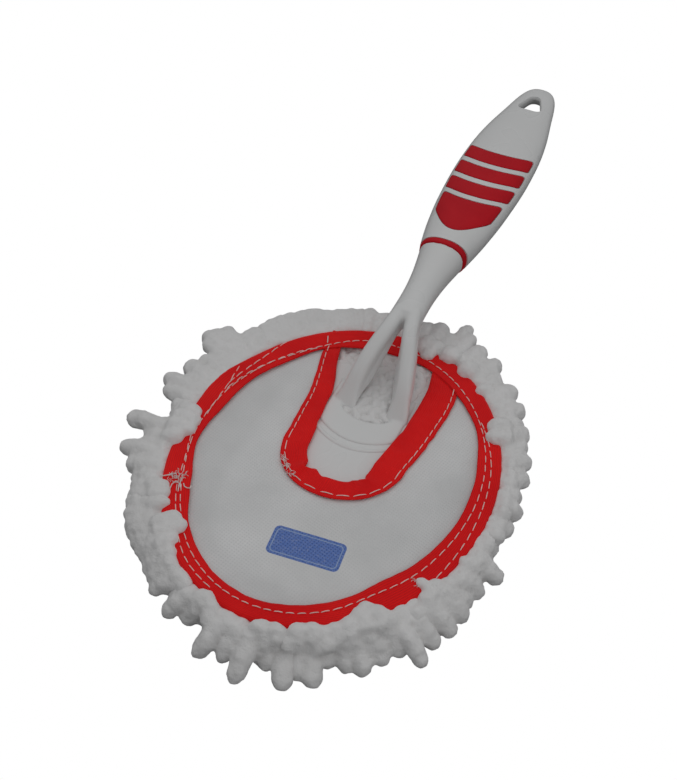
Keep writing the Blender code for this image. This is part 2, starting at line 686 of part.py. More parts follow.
def thicken(bm, rise):
    """Makes a flat grid a slab with one whole back, and returns the cells on its other side."""
    cells = list(bm.faces)
    back = bmesh.ops.extrude_face_region(bm, geom=cells)["geom"]
    back_verts = [item for item in back if isinstance(item, bmesh.types.BMVert)]
    back_faces = [item for item in back if isinstance(item, bmesh.types.BMFace)]
    bmesh.ops.translate(bm, vec=(0, 0, rise), verts=back_verts)
    bmesh.ops.dissolve_faces(bm, faces=back_faces)
    bmesh.ops.recalc_face_normals(bm, faces=bm.faces)
    bm.normal_update()
    return cells


def build_pile():
    """The chenille mat under the head, in strips, whose fingers are cut flat where they rest."""
    rng = random.Random(7)
    reach_x = HEAD_HALF_WIDTH - PILE_EDGE_MARGIN
    reach_y = HEAD_HALF_LENGTH - PILE_EDGE_MARGIN
    columns = 2 * int(reach_x / PILE_PITCH) + 1
    row_total = 2 * int(reach_y / PILE_PITCH) + 1
    pitch_x = 2 * (HEAD_HALF_WIDTH - PILE_SIDE_ROOM) / columns
    pitch_y = 2 * (HEAD_HALF_LENGTH - PILE_END_ROOM) / row_total
    ends = [round(share * row_total) for share in PILE_STRIP_SHARES]
    for strip, (first, last) in enumerate(zip(ends, ends[1:])):
        middle_y = pitch_y * (first + last - row_total) / 2
        bm = grid_of_cells(columns, last - first, pitch_x, pitch_y, (0, middle_y), MAT_BOTTOM,
                           lambda centre: math.hypot(centre.x / reach_x, centre.y / reach_y) < 1)
        half_strip = pitch_y * (last - first) / 2 - GAP / 2
        for vert in bm.verts:
            vert.co.y = middle_y + min(max(vert.co.y - middle_y, -half_strip), half_strip)
            beyond = max(math.hypot(vert.co.x / HEAD_HALF_WIDTH, vert.co.y / HEAD_HALF_LENGTH), 1)
            vert.co.x /= beyond
            vert.co.y /= beyond
        for face in thicken(bm, MAT_THICKNESS):
            lean = Vector((rng.uniform(-1, 1), rng.uniform(-1, 1), 0)) * PILE_LEAN
            down = Vector((0, 0, -MAT_BOTTOM - FLOOR_CUT))
            widths = ((PILE_ROOT, PILE_ROOT), (PILE_TIP, PILE_TIP))
            grow_finger(bm, face, [lean + down], widths, Vector((1, 0, 0)))
        cut = bmesh.ops.bisect_plane(bm, geom=bm.verts[:] + bm.edges[:] + bm.faces[:], plane_co=(0, 0, 0),
                                     plane_no=(0, 0, 1), clear_inner=True)
        edges = [item for item in cut["geom_cut"] if isinstance(item, bmesh.types.BMEdge)]
        bmesh.ops.edgeloop_fill(bm, edges=edges)
        name = f"chenille_pile_{strip + 1}"
        add_part(name, mesh_from(bm, name), "white_chenille", 60.0)


def head_edge(angle, out):
    """A point at a distance outside the head's bound edge, with the direction that leads away from it."""
    normal = Vector((math.cos(angle) / HEAD_HALF_WIDTH, math.sin(angle) / HEAD_HALF_LENGTH, 0)).normalized()
    edge = Vector((HEAD_HALF_WIDTH * math.cos(angle), HEAD_HALF_LENGTH * math.sin(angle), 0))
    return edge + normal * out, normal


def fringe_path(normal, turn, lifts, steps):
    """The way a fringe finger goes: outwards, then over and down."""
    out = Vector((normal.x * math.cos(turn) - normal.y * math.sin(turn),
                  normal.x * math.sin(turn) + normal.y * math.cos(turn), 0))
    place = Vector((0, 0, 0))
    centres = []
    for lift, step in zip(lifts, steps):
        a = math.radians(lift)
        place = place + (out * math.cos(a) + Vector((0, 0, math.sin(a)))) * step
        centres.append(place.copy())
    return centres


def build_fringe():
    """Two rows of chenille fingers along the bound edge, in sectors."""
    rng = random.Random(11)
    middle = (FRINGE_ROLL_LOW + FRINGE_ROLL_HIGH) / 2
    for sector in range(FRINGE_SECTORS):
        bm = bmesh.new()
        rings = []
        for k in range(FRINGE_COLUMNS + 1):
            angle = 2 * math.pi * (sector * FRINGE_COLUMNS + k) / (FRINGE_SECTORS * FRINGE_COLUMNS)
            if k == 0:
                angle += GAP / HEAD_HALF_WIDTH
            inner, normal = head_edge(angle, GAP * 2)
            outer, normal = head_edge(angle, FRINGE_ROLL)
            up = Vector((0, 0, 1))
            rings.append((inner + up * FRINGE_ROLL_LOW, outer + up * FRINGE_ROLL_LOW, outer + up * middle,
                          outer + up * FRINGE_ROLL_HIGH, inner + up * FRINGE_ROLL_HIGH))
        walls = loft(bm, rings)
        for _, lower, upper, _, _ in walls:
            normal = Vector((upper.normal.x, upper.normal.y, 0)).normalized()
            across = Vector((-normal.y, normal.x, 0))
            lifts = [rng.uniform(*lift) for lift in UPPER_LIFTS]
            stretch_share = rng.uniform(0.78, 1.12)
            steps = (FINGER_STEP, FINGER_STEP * stretch_share, FINGER_STEP * stretch_share)
            wide = (FINGER_ROOT, FINGER_WIDTH, FINGER_WIDTH, FINGER_TIP)
            widths = [(size, size * share) for size, share in zip(wide, UPPER_HEIGHT_SHARES)]
            path = fringe_path(normal, rng.uniform(-0.10, 0.10), lifts, steps)
            grow_finger(bm, upper, path, widths, across)
            lifts = [rng.uniform(*lift) for lift in LOWER_LIFTS]
            steps = [FINGER_STEP * share for share in LOWER_STEP_SHARES]
            wide = (FINGER_ROOT, FINGER_WIDTH, FINGER_TIP)
            widths = [(size, size * share) for size, share in zip(wide, LOWER_HEIGHT_SHARES)]
            path = fringe_path(normal, rng.uniform(-0.05, 0.05), lifts, steps)
            grow_finger(bm, lower, path, widths, across)
        name = f"chenille_fringe_{sector + 1}"
        add_part(name, mesh_from(bm, name), "white_chenille", 60.0)


def build_lining():
    """The chenille that shows through the plate's notch, on the floor of the pocket."""
    rng = random.Random(3)
    columns = 2 * int(NOTCH_HALF_WIDTH / LINING_PITCH)
    rows = int((PLATE_HALF_LENGTH - NOTCH_FRONT_Y) / LINING_PITCH)
    middle_y = NOTCH_FRONT_Y + GAP * 4 + rows * LINING_PITCH / 2

    def in_notch(centre):
        widest = abs(centre.x) + LINING_PITCH / 2 + GAP
        ahead = (NOTCH_FRONT_Y + NOTCH_CORNER - centre.y + LINING_PITCH / 2) / (NOTCH_CORNER - GAP)
        return math.hypot(widest / NOTCH_HALF_WIDTH, max(ahead, 0)) < 1

    cell_top = BASE_TOP + GAP + CLOTH_THICKNESS
    bm = grid_of_cells(columns, rows, LINING_PITCH, LINING_PITCH, (0, middle_y), cell_top, in_notch)
    for face in thicken(bm, -CLOTH_THICKNESS):
        under_prong = abs(face.calc_center_median().x) > LINING_PITCH
        height = LINING_LOW if under_prong else LINING_HEIGHT
        lean = Vector((rng.uniform(-1, 1), rng.uniform(-1, 1), 0)) * height * LINING_LEAN_SHARE
        rise = Vector((0, 0, height / 2))
        widths = [(LINING_FINGER * share, LINING_FINGER * share) for share in LINING_SHARES]
        grow_finger(bm, face, [rise, rise * 2 + lean], widths, Vector((1, 0, 0)))
    add_part("pocket_lining", mesh_from(bm, "pocket_lining"), "white_chenille", 60.0)


clear_scene()
PARTS = make_collection("microfiber_duster")
CUTTERS = make_collection("cutters")

build_head_frame()
build_collar()
build_grip()
build_cover()
build_lining()
build_pile()
build_fringe()
bpy.context.view_layer.update()
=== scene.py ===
# %% [markdown]
# # A microfiber duster, one cell at a time
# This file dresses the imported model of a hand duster. A flat plastic frame with a forked neck and a hollow
# grip is pushed into a washable cover, whose edge and mouth are bound with red tape and whose underside is
# chenille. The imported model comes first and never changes. Each of its parts is then replaced by a finer
# piece that sits in the same place and rides on the same body, so that the frame can still be drawn out of
# the cover.

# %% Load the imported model
import math
import random

import bmesh
import bpy
from mathutils import Matrix, Vector, noise


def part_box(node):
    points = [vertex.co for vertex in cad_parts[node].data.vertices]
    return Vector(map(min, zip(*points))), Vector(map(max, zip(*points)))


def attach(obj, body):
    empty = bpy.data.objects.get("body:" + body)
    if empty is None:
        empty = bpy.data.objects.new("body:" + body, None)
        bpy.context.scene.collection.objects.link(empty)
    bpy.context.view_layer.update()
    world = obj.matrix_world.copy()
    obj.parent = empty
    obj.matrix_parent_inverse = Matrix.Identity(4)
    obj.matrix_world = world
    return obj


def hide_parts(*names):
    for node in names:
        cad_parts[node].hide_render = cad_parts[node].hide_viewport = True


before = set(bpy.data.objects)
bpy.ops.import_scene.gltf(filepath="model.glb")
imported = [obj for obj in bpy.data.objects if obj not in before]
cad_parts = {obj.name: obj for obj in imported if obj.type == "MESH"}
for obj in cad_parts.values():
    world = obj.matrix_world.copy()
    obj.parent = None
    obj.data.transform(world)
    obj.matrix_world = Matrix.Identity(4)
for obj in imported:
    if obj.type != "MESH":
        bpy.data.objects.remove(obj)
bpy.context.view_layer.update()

# %% [markdown]
# ## Camera
# The photograph was taken from above the front right of the head, about half a metre away, with the camera
# rolled a little. Three angles, a distance and the point that it aims at give that view. A matrix is built
# from them, rather than a tracking constraint, because a constraint can't hold the roll.

# %% Put the camera where the photograph was taken
MM = 0.001
ELEVATION, SWING, ROLL = (math.radians(angle) for angle in (46.744, 23.194, -2.2065))
DISTANCE = 551.33 * MM
AIM = Vector((-17.63, 42.46, 19.0)) * MM


def into_scene(name, data):
    obj = bpy.data.objects.new(name, data)
    bpy.context.scene.collection.objects.link(obj)
    return obj


backward = Vector((math.sin(SWING) * math.cos(ELEVATION), -math.cos(SWING) * math.cos(ELEVATION),
                   math.sin(ELEVATION)))
level_right = (-backward).cross(Vector((0, 0, 1))).normalized()
level_up = level_right.cross(-backward)
view_right = level_right * math.cos(ROLL) - level_up * math.sin(ROLL)
view_up = level_right * math.sin(ROLL) + level_up * math.cos(ROLL)
EYE = AIM + backward * DISTANCE

camera_data = bpy.data.cameras.new("photograph_camera")
camera_data.lens = 50.77
camera_data.sensor_width = 36
camera_data.clip_start = 10 * MM
camera = into_scene("photograph_camera", camera_data)
camera.matrix_world = Matrix.Translation(EYE) @ Matrix((view_right, view_up, backward)).transposed().to_4x4()
bpy.context.scene.camera = camera
print("camera at", [round(x, 4) for x in EYE])


# %% [markdown]
# ## Light and floor
# The photograph is a cut-out: the duster is evenly lit from above and behind, its whites come out mid grey,
# and all round it is plain white. A large soft lamp and a dim even sky light the duster, and two weak lamps
# at the right lighten its shaded sides. The floor and the sky are white only to the camera, through the Is
# Camera Ray output of a Light Path node, so that they don't flood it with light.

# %% Short ways to lay nodes
def add_node(tree, kind, inputs=None, **settings):
    """A shader node with its settings, and with inputs that are plain values or sockets to link."""
    node = tree.nodes.new("ShaderNode" + kind)
    for name, value in settings.items():
        setattr(node, name, value)
    for label, value in (inputs or {}).items():
        if isinstance(value, bpy.types.NodeSocket):
            tree.links.new(value, node.inputs[label])
        else:
            node.inputs[label].default_value = value
    return node


def math_node(tree, operation, *inputs):
    return add_node(tree, "Math", dict(enumerate(inputs)), operation=operation).outputs[0]


def empty_tree(owner):
    owner.use_nodes = True
    owner.node_tree.nodes.clear()
    return owner.node_tree


print("helpers for nodes are ready")

# %% Sky
SKY_STRENGTH = 0.31
bpy.context.scene.view_settings.view_transform = "Standard"
bpy.context.scene.view_settings.look = "None"
world = bpy.data.worlds.new("white_surroundings")
bpy.context.scene.world = world
sky = empty_tree(world)
sky_light = add_node(sky, "Background", {"Color": (0.97, 0.985, 1.0, 1.0), "Strength": SKY_STRENGTH})
sky_seen = add_node(sky, "Background", {"Color": (1, 1, 1, 1)})
to_camera = add_node(sky, "LightPath").outputs["Is Camera Ray"]
sky_mix = add_node(sky, "MixShader", {0: to_camera, 1: sky_light.outputs[0], 2: sky_seen.outputs[0]})
add_node(sky, "OutputWorld", {"Surface": sky_mix.outputs[0]})
print("sky strength", SKY_STRENGTH)

# %% Lamps
KEY_WATTS = 4.85
LAMPS = (("soft_key", (-0.45, 0.50, 1.40), 1.7, KEY_WATTS),
         ("soft_side", (0.85, -0.05, 0.22), 0.6, KEY_WATTS / 9),
         ("soft_right", (0.55, -0.40, 1.10), 0.9, KEY_WATTS / 3.6))
for name, place, size, watts in LAMPS:
    lamp_data = bpy.data.lights.new(name, "AREA")
    lamp_data.size = size
    lamp_data.energy = watts
    lamp = into_scene(name, lamp_data)
    lamp.location = place
    lamp.rotation_euler = (Vector(place) - AIM).to_track_quat("Z", "Y").to_euler()
    print(name, round(watts, 2), "W")

# %% Floor
FLOOR_GREY = (0.15, 0.15, 0.15, 1)
FLOOR_HALF = 3.0
floor_mesh = bpy.data.meshes.new("pale_floor")
floor_corners = [(x * FLOOR_HALF, y * FLOOR_HALF, 0) for x, y in ((-1, -1), (1, -1), (1, 1), (-1, 1))]
floor_mesh.from_pydata(floor_corners, [], [(0, 1, 2, 3)])
floor = into_scene("pale_floor", floor_mesh)
floor.location.z = -0.2 * MM
floor_finish = bpy.data.materials.new("pale_floor")
tree = empty_tree(floor_finish)
matt, white = add_node(tree, "BsdfDiffuse", {"Color": FLOOR_GREY}), add_node(tree, "Emission")
to_camera = add_node(tree, "LightPath").outputs["Is Camera Ray"]
seen = add_node(tree, "MixShader", {0: to_camera, 1: matt.outputs[0], 2: white.outputs[0]})
from_below = add_node(tree, "NewGeometry").outputs["Backfacing"]
clear = add_node(tree, "BsdfTransparent")
floor_mix = add_node(tree, "MixShader", {0: from_below, 1: seen.outputs[0], 2: clear.outputs[0]})
add_node(tree, "OutputMaterial", {"Surface": floor_mix.outputs[0]})
floor_mesh.materials.append(floor_finish)
print("floor", floor.dimensions.x, "m wide, clear from below")


# %% [markdown]
# ## Effects that several finishes share
# Plastic, rubber, tape, cloth and chenille all need a fine grain and a slow change of tone, the cloth and the
# tape need threads, moulded edges need a little wear, and the creases of the pile need a painted shade. Each
# effect is one node group with named sockets. It could be copied into each material, but a group is built
# once, and each material gives it a scale.

# %% Build a node group
def new_group(name, inputs, outputs):
    """A shader group, its given sockets and its result sockets. An input without a number is a vector."""
    group = bpy.data.node_groups.new(name, "ShaderNodeTree")
    for label, value in inputs.items():
        kind = "NodeSocketVector" if value is None else "NodeSocketFloat"
        socket = group.interface.new_socket(name=label, in_out="INPUT", socket_type=kind)
        if value is not None:
            socket.default_value = value
    for label in outputs:
        group.interface.new_socket(name=label, in_out="OUTPUT", socket_type="NodeSocketFloat")
    return group, group.nodes.new("NodeGroupInput").outputs, group.nodes.new("NodeGroupOutput").inputs


# %% Grain and slow mottling
grain_group, given, result = new_group("grain_and_mottle", {"Grain Scale": 2000.0, "Mottle Scale": 40.0},
                                       ("Grain", "Mottle"))
place = add_node(grain_group, "TexCoord").outputs["Object"]
for label, detail in (("Grain", 3.0), ("Mottle", 2.0)):
    cloud = add_node(grain_group, "TexNoise",
                     {"Vector": place, "Scale": given[f"{label} Scale"], "Detail": detail})
    grain_group.links.new(cloud.outputs[0], result[label])
print(grain_group.name, [item.name for item in grain_group.interface.items_tree])

# %% Threads
WEAVE_PITCH = 1.4 * MM
thread_group, given, result = new_group(
    "crossing_threads", {"Place": None, "Across Pitch": WEAVE_PITCH, "Along Pitch": WEAVE_PITCH},
    ("Height", "Pits"))
axes = add_node(thread_group, "SeparateXYZ", {0: given["Place"]}).outputs
waves = []
for axis, pitch in (("X", "Across Pitch"), ("Y", "Along Pitch")):
    turns = math_node(thread_group, "DIVIDE", axes[axis], given[pitch])
    cosine = math_node(thread_group, "COSINE", math_node(thread_group, "MULTIPLY", turns, math.tau))
    waves.append(math_node(thread_group, "MULTIPLY_ADD", cosine, 0.5, 0.5))
away = [math_node(thread_group, "SUBTRACT", 1.0, wave) for wave in waves]
thread_group.links.new(math_node(thread_group, "MAXIMUM", *waves), result["Height"])
thread_group.links.new(math_node(thread_group, "MULTIPLY", *away), result["Pits"])
print(thread_group.name, "puts out", [item.name for item in thread_group.interface.items_tree][-2:])

# %% Worn edges, and painted shade in creases
wear_and_crease_shade_group, given, result = new_group("worn_edges_and_crease_shade", {"Width": 0.06}, ("Edge", "Crease"))
sharpness = add_node(wear_and_crease_shade_group, "NewGeometry").outputs["Pointiness"]
lift = math_node(wear_and_crease_shade_group, "DIVIDE", math_node(wear_and_crease_shade_group, "SUBTRACT", sharpness, 0.5), given["Width"])
# Edge marks worn edges. Crease marks the hollows where the chenille gets painted shade.
for label, sign in (("Edge", 1.0), ("Crease", -1.0)):
    kept = add_node(wear_and_crease_shade_group, "Clamp", {"Value": math_node(wear_and_crease_shade_group, "MULTIPLY", lift, sign)})
    wear_and_crease_shade_group.links.new(kept.outputs[0], result[label])
print(wear_and_crease_shade_group.name, "reads how sharply the surface turns")


# %% [markdown]
# ## Finishes
# The real duster has five finishes: a satin white moulding, soft crimson rubber, ribbed red tape, a thin
# white cloth with an open weave, and chenille, a soft yarn with a short nap. A pale thread holds the tapes.
# Every finish starts from one class, which lays the grain and a roughness that changes slowly, and has short
# ways to mix tones and to stack bumps. It then adds what is its own.

# %% Start a finish
class Finish:
    """A Principled material with the shared effects and short ways to link them."""

    def __init__(self, name, slot, roughness, grain_scale, mottle_scale, shader=None):
        self.slot = slot
        self.material = bpy.data.materials.new(name)
        self.material.use_nodes = True
        self.tree = self.material.node_tree
        self.shader = self.tree.nodes["Principled BSDF"].inputs
        for label, value in (shader or {}).items():
            self.shader[label].default_value = value
        grain = self.group(grain_group, {"Grain Scale": grain_scale, "Mottle Scale": mottle_scale})
        self.grain, self.mottle = grain["Grain"], grain["Mottle"]
        uneven = self.spread(self.mottle, roughness - 0.05, roughness + 0.05)
        self.tree.links.new(uneven, self.shader["Roughness"])
        self.bumps = {}
        print(name, "roughness", roughness)

    def group(self, group, inputs):
        return add_node(self.tree, "Group", inputs, node_tree=group).outputs

    def spread(self, factor, low, high, start=0.3, end=0.7):
        """Maps a mask to numbers between low and high."""
        ends = {"Value": factor, "From Min": start, "From Max": end, "To Min": low, "To Max": high}
        return add_node(self.tree, "MapRange", ends).outputs[0]

    def blend(self, factor, first, second):
        """Mixes two colours, each a tuple or a socket, which are inputs 6 and 7 of a Mix node."""
        first, second = ((*tone, 1.0) if isinstance(tone, tuple) else tone for tone in (first, second))
        return add_node(self.tree, "Mix", {0: factor, 6: first, 7: second}, data_type="RGBA").outputs[2]

    def mottled(self, first, second):
        return self.blend(self.spread(self.mottle, 0, 1), first, second)

    def colour(self, socket):
        self.tree.links.new(socket, self.shader["Base Color"])

    def bump(self, height, depth):
        """A bump on top of those before it."""
        normal = add_node(self.tree, "Bump", {"Height": height, "Distance": depth, **self.bumps}).outputs[0]
        self.tree.links.new(normal, self.shader["Normal"])
        self.bumps = {"Normal": normal}


# %% Satin white moulding
WHITE_PLASTIC, DULL_PLASTIC, EDGE_PLASTIC = (0.72, 0.72, 0.715), (0.707, 0.707, 0.70), (0.76, 0.76, 0.755)
moulding = Finish("satin_white_plastic", "white_plastic", 0.28, 2600, 26,
                  {"Coat Weight": 0.05, "Coat Roughness": 0.12, "Specular IOR Level": 0.38})
worn = moulding.spread(moulding.group(wear_and_crease_shade_group, {"Width": 0.10})["Edge"], 0, 0.5, 0, 1)
moulding.colour(moulding.blend(worn, moulding.mottled(WHITE_PLASTIC, DULL_PLASTIC), EDGE_PLASTIC))
moulding.bump(moulding.grain, 0.004 * MM)

# %% Crimson rubber
CRIMSON, DEEP_CRIMSON, SHADED_RIM_CRIMSON = (0.57, 0.005, 0.014), (0.51, 0.005, 0.014), (0.19, 0.004, 0.014)
rubber = Finish("crimson_rubber", "crimson_rubber", 0.60, 3200, 60, {"Specular IOR Level": 0.16})
# The top rim of each inlay is painted dark red. This is painted shade of the groove round it.
rim = add_node(rubber.tree, "Attribute", attribute_name="rim").outputs["Fac"]
rim_shade = rubber.spread(rim, 0, 0.75, 0.1, 0.9)
rubber.colour(rubber.blend(rim_shade, rubber.mottled(CRIMSON, DEEP_CRIMSON), SHADED_RIM_CRIMSON))
rubber.bump(rubber.grain, 0.02 * MM)

# %% Ribbed red tape
RED, DEEP_RED, PIT_RED = (0.97, 0.008, 0.008), (0.84, 0.006, 0.008), (0.42, 0.004, 0.006)
tape = Finish("red_ribbed_tape", "red_tape", 0.78, 1800, 45,
              {"Sheen Weight": 0.08, "Sheen Roughness": 0.4, "Specular IOR Level": 0.2})
along_tape = add_node(tape.tree, "UVMap", uv_map="run").outputs[0]
ribs = tape.group(thread_group, {"Place": along_tape, "Across Pitch": 0.62 * MM, "Along Pitch": 0.9 * MM})
tape.colour(tape.blend(tape.spread(ribs["Pits"], 0, 0.75, 0.2, 1), tape.mottled(RED, DEEP_RED), PIT_RED))
tape.bump(ribs["Height"], 0.10 * MM)
tape.bump(tape.grain, 0.06 * MM)


# %% [markdown]
# ### White cloth with a printed patch
# The cloth of the pocket is an open weave, with pits about 1.4 mm apart, and it has a soft painted shade
# outside its middle. Near its front edge is a small plain blue patch, printed on the cloth, so it has no
# thickness and the weave shows through it. A mask in the material draws it: the distance to a rounded
# rectangle, worked out from the object's own coordinates, with a thin pale line inside its rim. A separate
# patch of mesh would stand proud and would have to follow every dent. The same mask, much larger, paints
# that shade outside the middle.

# %% A mask of a rounded rectangle
def patch_mask(tree, place, middle, half, turn, corner, soft):
    """1 inside a rounded rectangle and 0 outside it, in millimetres."""
    mapping = add_node(tree, "Mapping", {"Vector": place, "Location": (middle[0] * MM, middle[1] * MM, 0),
                                         "Rotation": (0, 0, turn)}, vector_type="TEXTURE")
    axes = add_node(tree, "SeparateXYZ", {0: mapping.outputs[0]}).outputs
    squares = []
    for axis, reach in zip("XY", half):
        past = math_node(tree, "SUBTRACT", math_node(tree, "ABSOLUTE", axes[axis]), (reach - corner) * MM)
        beyond = math_node(tree, "MAXIMUM", past, 0.0)
        squares.append(math_node(tree, "MULTIPLY", beyond, beyond))
    distance = math_node(tree, "SQRT", math_node(tree, "ADD", *squares))
    inside = math_node(tree, "SUBTRACT", corner * MM, distance)
    ends = {"Value": inside, "From Min": -soft * MM, "From Max": soft * MM}
    return add_node(tree, "MapRange", ends).outputs[0]


print("the mask is ready")

# %% White open weave
WHITE_CLOTH, DULL_CLOTH, PIT_CLOTH = (0.77, 0.766, 0.764), (0.66, 0.659, 0.656), (0.64, 0.642, 0.64)
SHADED_CLOTH = (0.42, 0.42, 0.42)
WEAVE_TURN = math.radians(14)
cloth = Finish("white_open_weave", "white_cloth", 0.88, 1500, 32,
               {"Sheen Weight": 0.10, "Specular IOR Level": 0.25})
on_cloth = add_node(cloth.tree, "TexCoord").outputs["Object"]
turned = add_node(cloth.tree, "Mapping", {"Vector": on_cloth, "Rotation": (0, 0, WEAVE_TURN)}).outputs[0]
weave = cloth.group(thread_group, {"Place": turned})
in_pits = cloth.spread(weave["Pits"], 0, 0.8, 0.2, 1)
tone = cloth.blend(in_pits, cloth.mottled(WHITE_CLOTH, DULL_CLOTH), PIT_CLOTH)
# Outside this middle the cloth is painted darker, towards SHADED_CLOTH. This is a soft painted shade.
unshaded_middle = patch_mask(cloth.tree, on_cloth, middle=(6, 4), half=(50, 78), turn=0, corner=48, soft=3)
tone = cloth.blend(cloth.spread(unshaded_middle, 0.13, 0, 0, 1), tone, SHADED_CLOTH)
print("pits 1.4 mm apart")

# %% Blue patch in the cloth
PATCH_MIDDLE, PATCH_HALF, PATCH_CORNER = (9.5, -50.0), (17.0, 7.8), 2.6
PATCH_TURN = math.radians(6)
LINE_INSETS = (1.3, 1.75)
BLUE, PIT_BLUE, LINE_BLUE = (0.12, 0.21, 0.54), (0.055, 0.11, 0.35), (0.30, 0.40, 0.62)
patch, line_outer, line_inner = (
    patch_mask(cloth.tree, on_cloth, PATCH_MIDDLE, [side - inset for side in PATCH_HALF], PATCH_TURN,
               PATCH_CORNER - inset / 2, soft=0.12) for inset in (0.0, *LINE_INSETS))
line = math_node(cloth.tree, "SUBTRACT", line_outer, line_inner)
blue = cloth.blend(line, cloth.blend(cloth.spread(weave["Pits"], 0, 1, 0.15, 0.9), BLUE, PIT_BLUE), LINE_BLUE)
printed = math_node(cloth.tree, "MULTIPLY", patch, cloth.spread(cloth.grain, 0.80, 1.0, 0.3, 0.5))
cloth.colour(cloth.blend(printed, tone, blue))
cloth.bump(weave["Height"], 0.09 * MM)
cloth.bump(cloth.grain, 0.07 * MM)
print("patch", [2 * side for side in PATCH_HALF], "mm")

# %% White chenille and sewing thread
WHITE_PILE, DULL_PILE, CREASE_SHADE_PILE = (0.77, 0.76, 0.755), (0.73, 0.72, 0.713), (0.44, 0.41, 0.38)
chenille = Finish("white_chenille", "white_chenille", 0.95, 1300, 55,
                  {"Sheen Weight": 0.22, "Sheen Roughness": 0.6, "Specular IOR Level": 0.12})
# The creases of the pile are painted darker, as painted shade where the lumps press together.
crease_shade = chenille.spread(chenille.group(wear_and_crease_shade_group, {"Width": 0.16})["Crease"], 0, 0.7, 0, 1)
chenille.colour(chenille.blend(crease_shade, chenille.mottled(WHITE_PILE, DULL_PILE), CREASE_SHADE_PILE))
chenille.bump(chenille.grain, 0.22 * MM)
curl = chenille.group(grain_group, {"Grain Scale": 420.0, "Mottle Scale": 200.0})
chenille.bump(curl["Grain"], 0.45 * MM)

thread, lint = (Finish(name, "white_cloth", roughness, 5200, 300)
                for name, roughness in (("sewing_thread", 0.62), ("thread_lint", 0.80)))
for yarn, light, dark in ((thread, (0.92, 0.68, 0.64), (0.82, 0.54, 0.50)),
                          (lint, (0.80, 0.72, 0.70), (0.70, 0.62, 0.60))):
    yarn.colour(yarn.mottled(light, dark))
    yarn.bump(yarn.grain, 0.05 * MM)


# %% [markdown]
# ## Helpers for shapes
# Most pieces are a skin stretched over a row of sections, a sheet given by two shares, or a bundle of soft
# strands that is melted into one surface. Three helpers make these. A fourth names a piece, gives it a
# finish, makes it ride on its body, and hides the plain node that it stands for.

# %% Place a piece
def place_piece(name, mesh, body, finish, *nodes):
    obj = into_scene(name, mesh)
    mesh.name = name
    mesh.materials.clear()
    mesh.materials.append(finish.material)
    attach(obj, body)
    if nodes:
        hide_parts(*nodes)
    return obj


def evaluated_mesh(obj):
    graph = bpy.context.evaluated_depsgraph_get()
    return bpy.data.meshes.new_from_object(obj.evaluated_get(graph), depsgraph=graph)


def settle(obj):
    """Makes an object's modifiers part of its mesh."""
    mesh, plain = evaluated_mesh(obj), obj.data
    obj.modifiers.clear()
    obj.data = mesh
    bpy.data.meshes.remove(plain)


def modify(obj, kind, **settings):
    modifier = obj.modifiers.new(kind.lower(), kind)
    for name, value in settings.items():
        setattr(modifier, name, value)


# %% Stretch a skin over sections
def skin(bm, rings):
    """A closed skin over rings of equally many points."""
    rows = [[bm.verts.new(point) for point in ring] for ring in rings]
    for low, high in zip(rows, rows[1:]):
        for i in range(len(low)):
            j = (i + 1) % len(low)
            bm.faces.new((low[i], low[j], high[j], high[i]))
    bm.faces.new(list(reversed(rows[0])))
    bm.faces.new(rows[-1])


def to_mesh(bm, name, sharp=180):
    """A smooth mesh with creases where it turns by more than sharp degrees."""
    mesh = bpy.data.meshes.new(name)
    bm.to_mesh(mesh)
    bm.free()
    mesh.shade_smooth()
    if sharp < 180:
        mesh.set_sharp_from_angle(angle=math.radians(sharp))
    return mesh


def closed_mesh(bm, name, sharp=180):
    bmesh.ops.recalc_face_normals(bm, faces=bm.faces)
    return to_mesh(bm, name, sharp)


def skin_mesh(name, rings, sharp=180):
    bm = bmesh.new()
    skin(bm, rings)
    return closed_mesh(bm, name, sharp)


# %% Lay a sheet from two shares
def run_face(bm, uv, verts, runs):
    """A quad whose UV map holds metres along and across the cloth."""
    for loop, run in zip(bm.faces.new(verts).loops, runs):
        loop[uv].uv = run


def sheet_mesh(name, columns, rows, place, size, joined=False):
    """Quads at place(u, v) for shares u and v of a sheet of this size."""
    bm = bmesh.new()
    uv = bm.loops.layers.uv.new("run")
    count = columns if joined else columns + 1
    verts = [[bm.verts.new(place(i / columns, j / rows)) for j in range(rows + 1)] for i in range(count)]
    for i in range(columns):
        for j in range(rows):
            corners = ((i, j), (i + 1, j), (i + 1, j + 1), (i, j + 1))
            run_face(bm, uv, [verts[a % count][b] for a, b in corners],
                     [(a / columns * size[0], b / rows * size[1]) for a, b in corners])
    return to_mesh(bm, name)


def thicken(obj, thickness):
    modify(obj, "SOLIDIFY", thickness=thickness, offset=0)
    settle(obj)


# %% Melt strands into one soft surface
def strand(bm, points, radii, sides=10):
    """A round tube through points, with domed ends."""
    last = len(points) - 1
    ahead, behind = (points[1] - points[0]).normalized(), (points[-1] - points[-2]).normalized()
    stops = [(points[0] - ahead * radii[0] * 0.7, ahead, radii[0] * 0.5)]
    for i, (point, radius) in enumerate(zip(points, radii)):
        stops.append((point, (points[min(i + 1, last)] - points[max(i - 1, 0)]).normalized(), radius))
    stops.append((points[-1] + behind * radii[-1] * 0.7, behind, radii[-1] * 0.5))
    side = ahead.orthogonal().normalized()
    turns = [math.tau * i / sides for i in range(sides)]
    rings = []
    for point, along, radius in stops:
        side = (side - along * along.dot(side)).normalized()
        up = along.cross(side)
        rings.append([point + (side * math.cos(a) + up * math.sin(a)) * radius for a in turns])
    skin(bm, rings)


def melt(obj, voxel, passes):
    modify(obj, "REMESH", mode="VOXEL", voxel_size=voxel, use_smooth_shade=True)
    modify(obj, "SMOOTH", factor=0.5, iterations=passes)
    settle(obj)


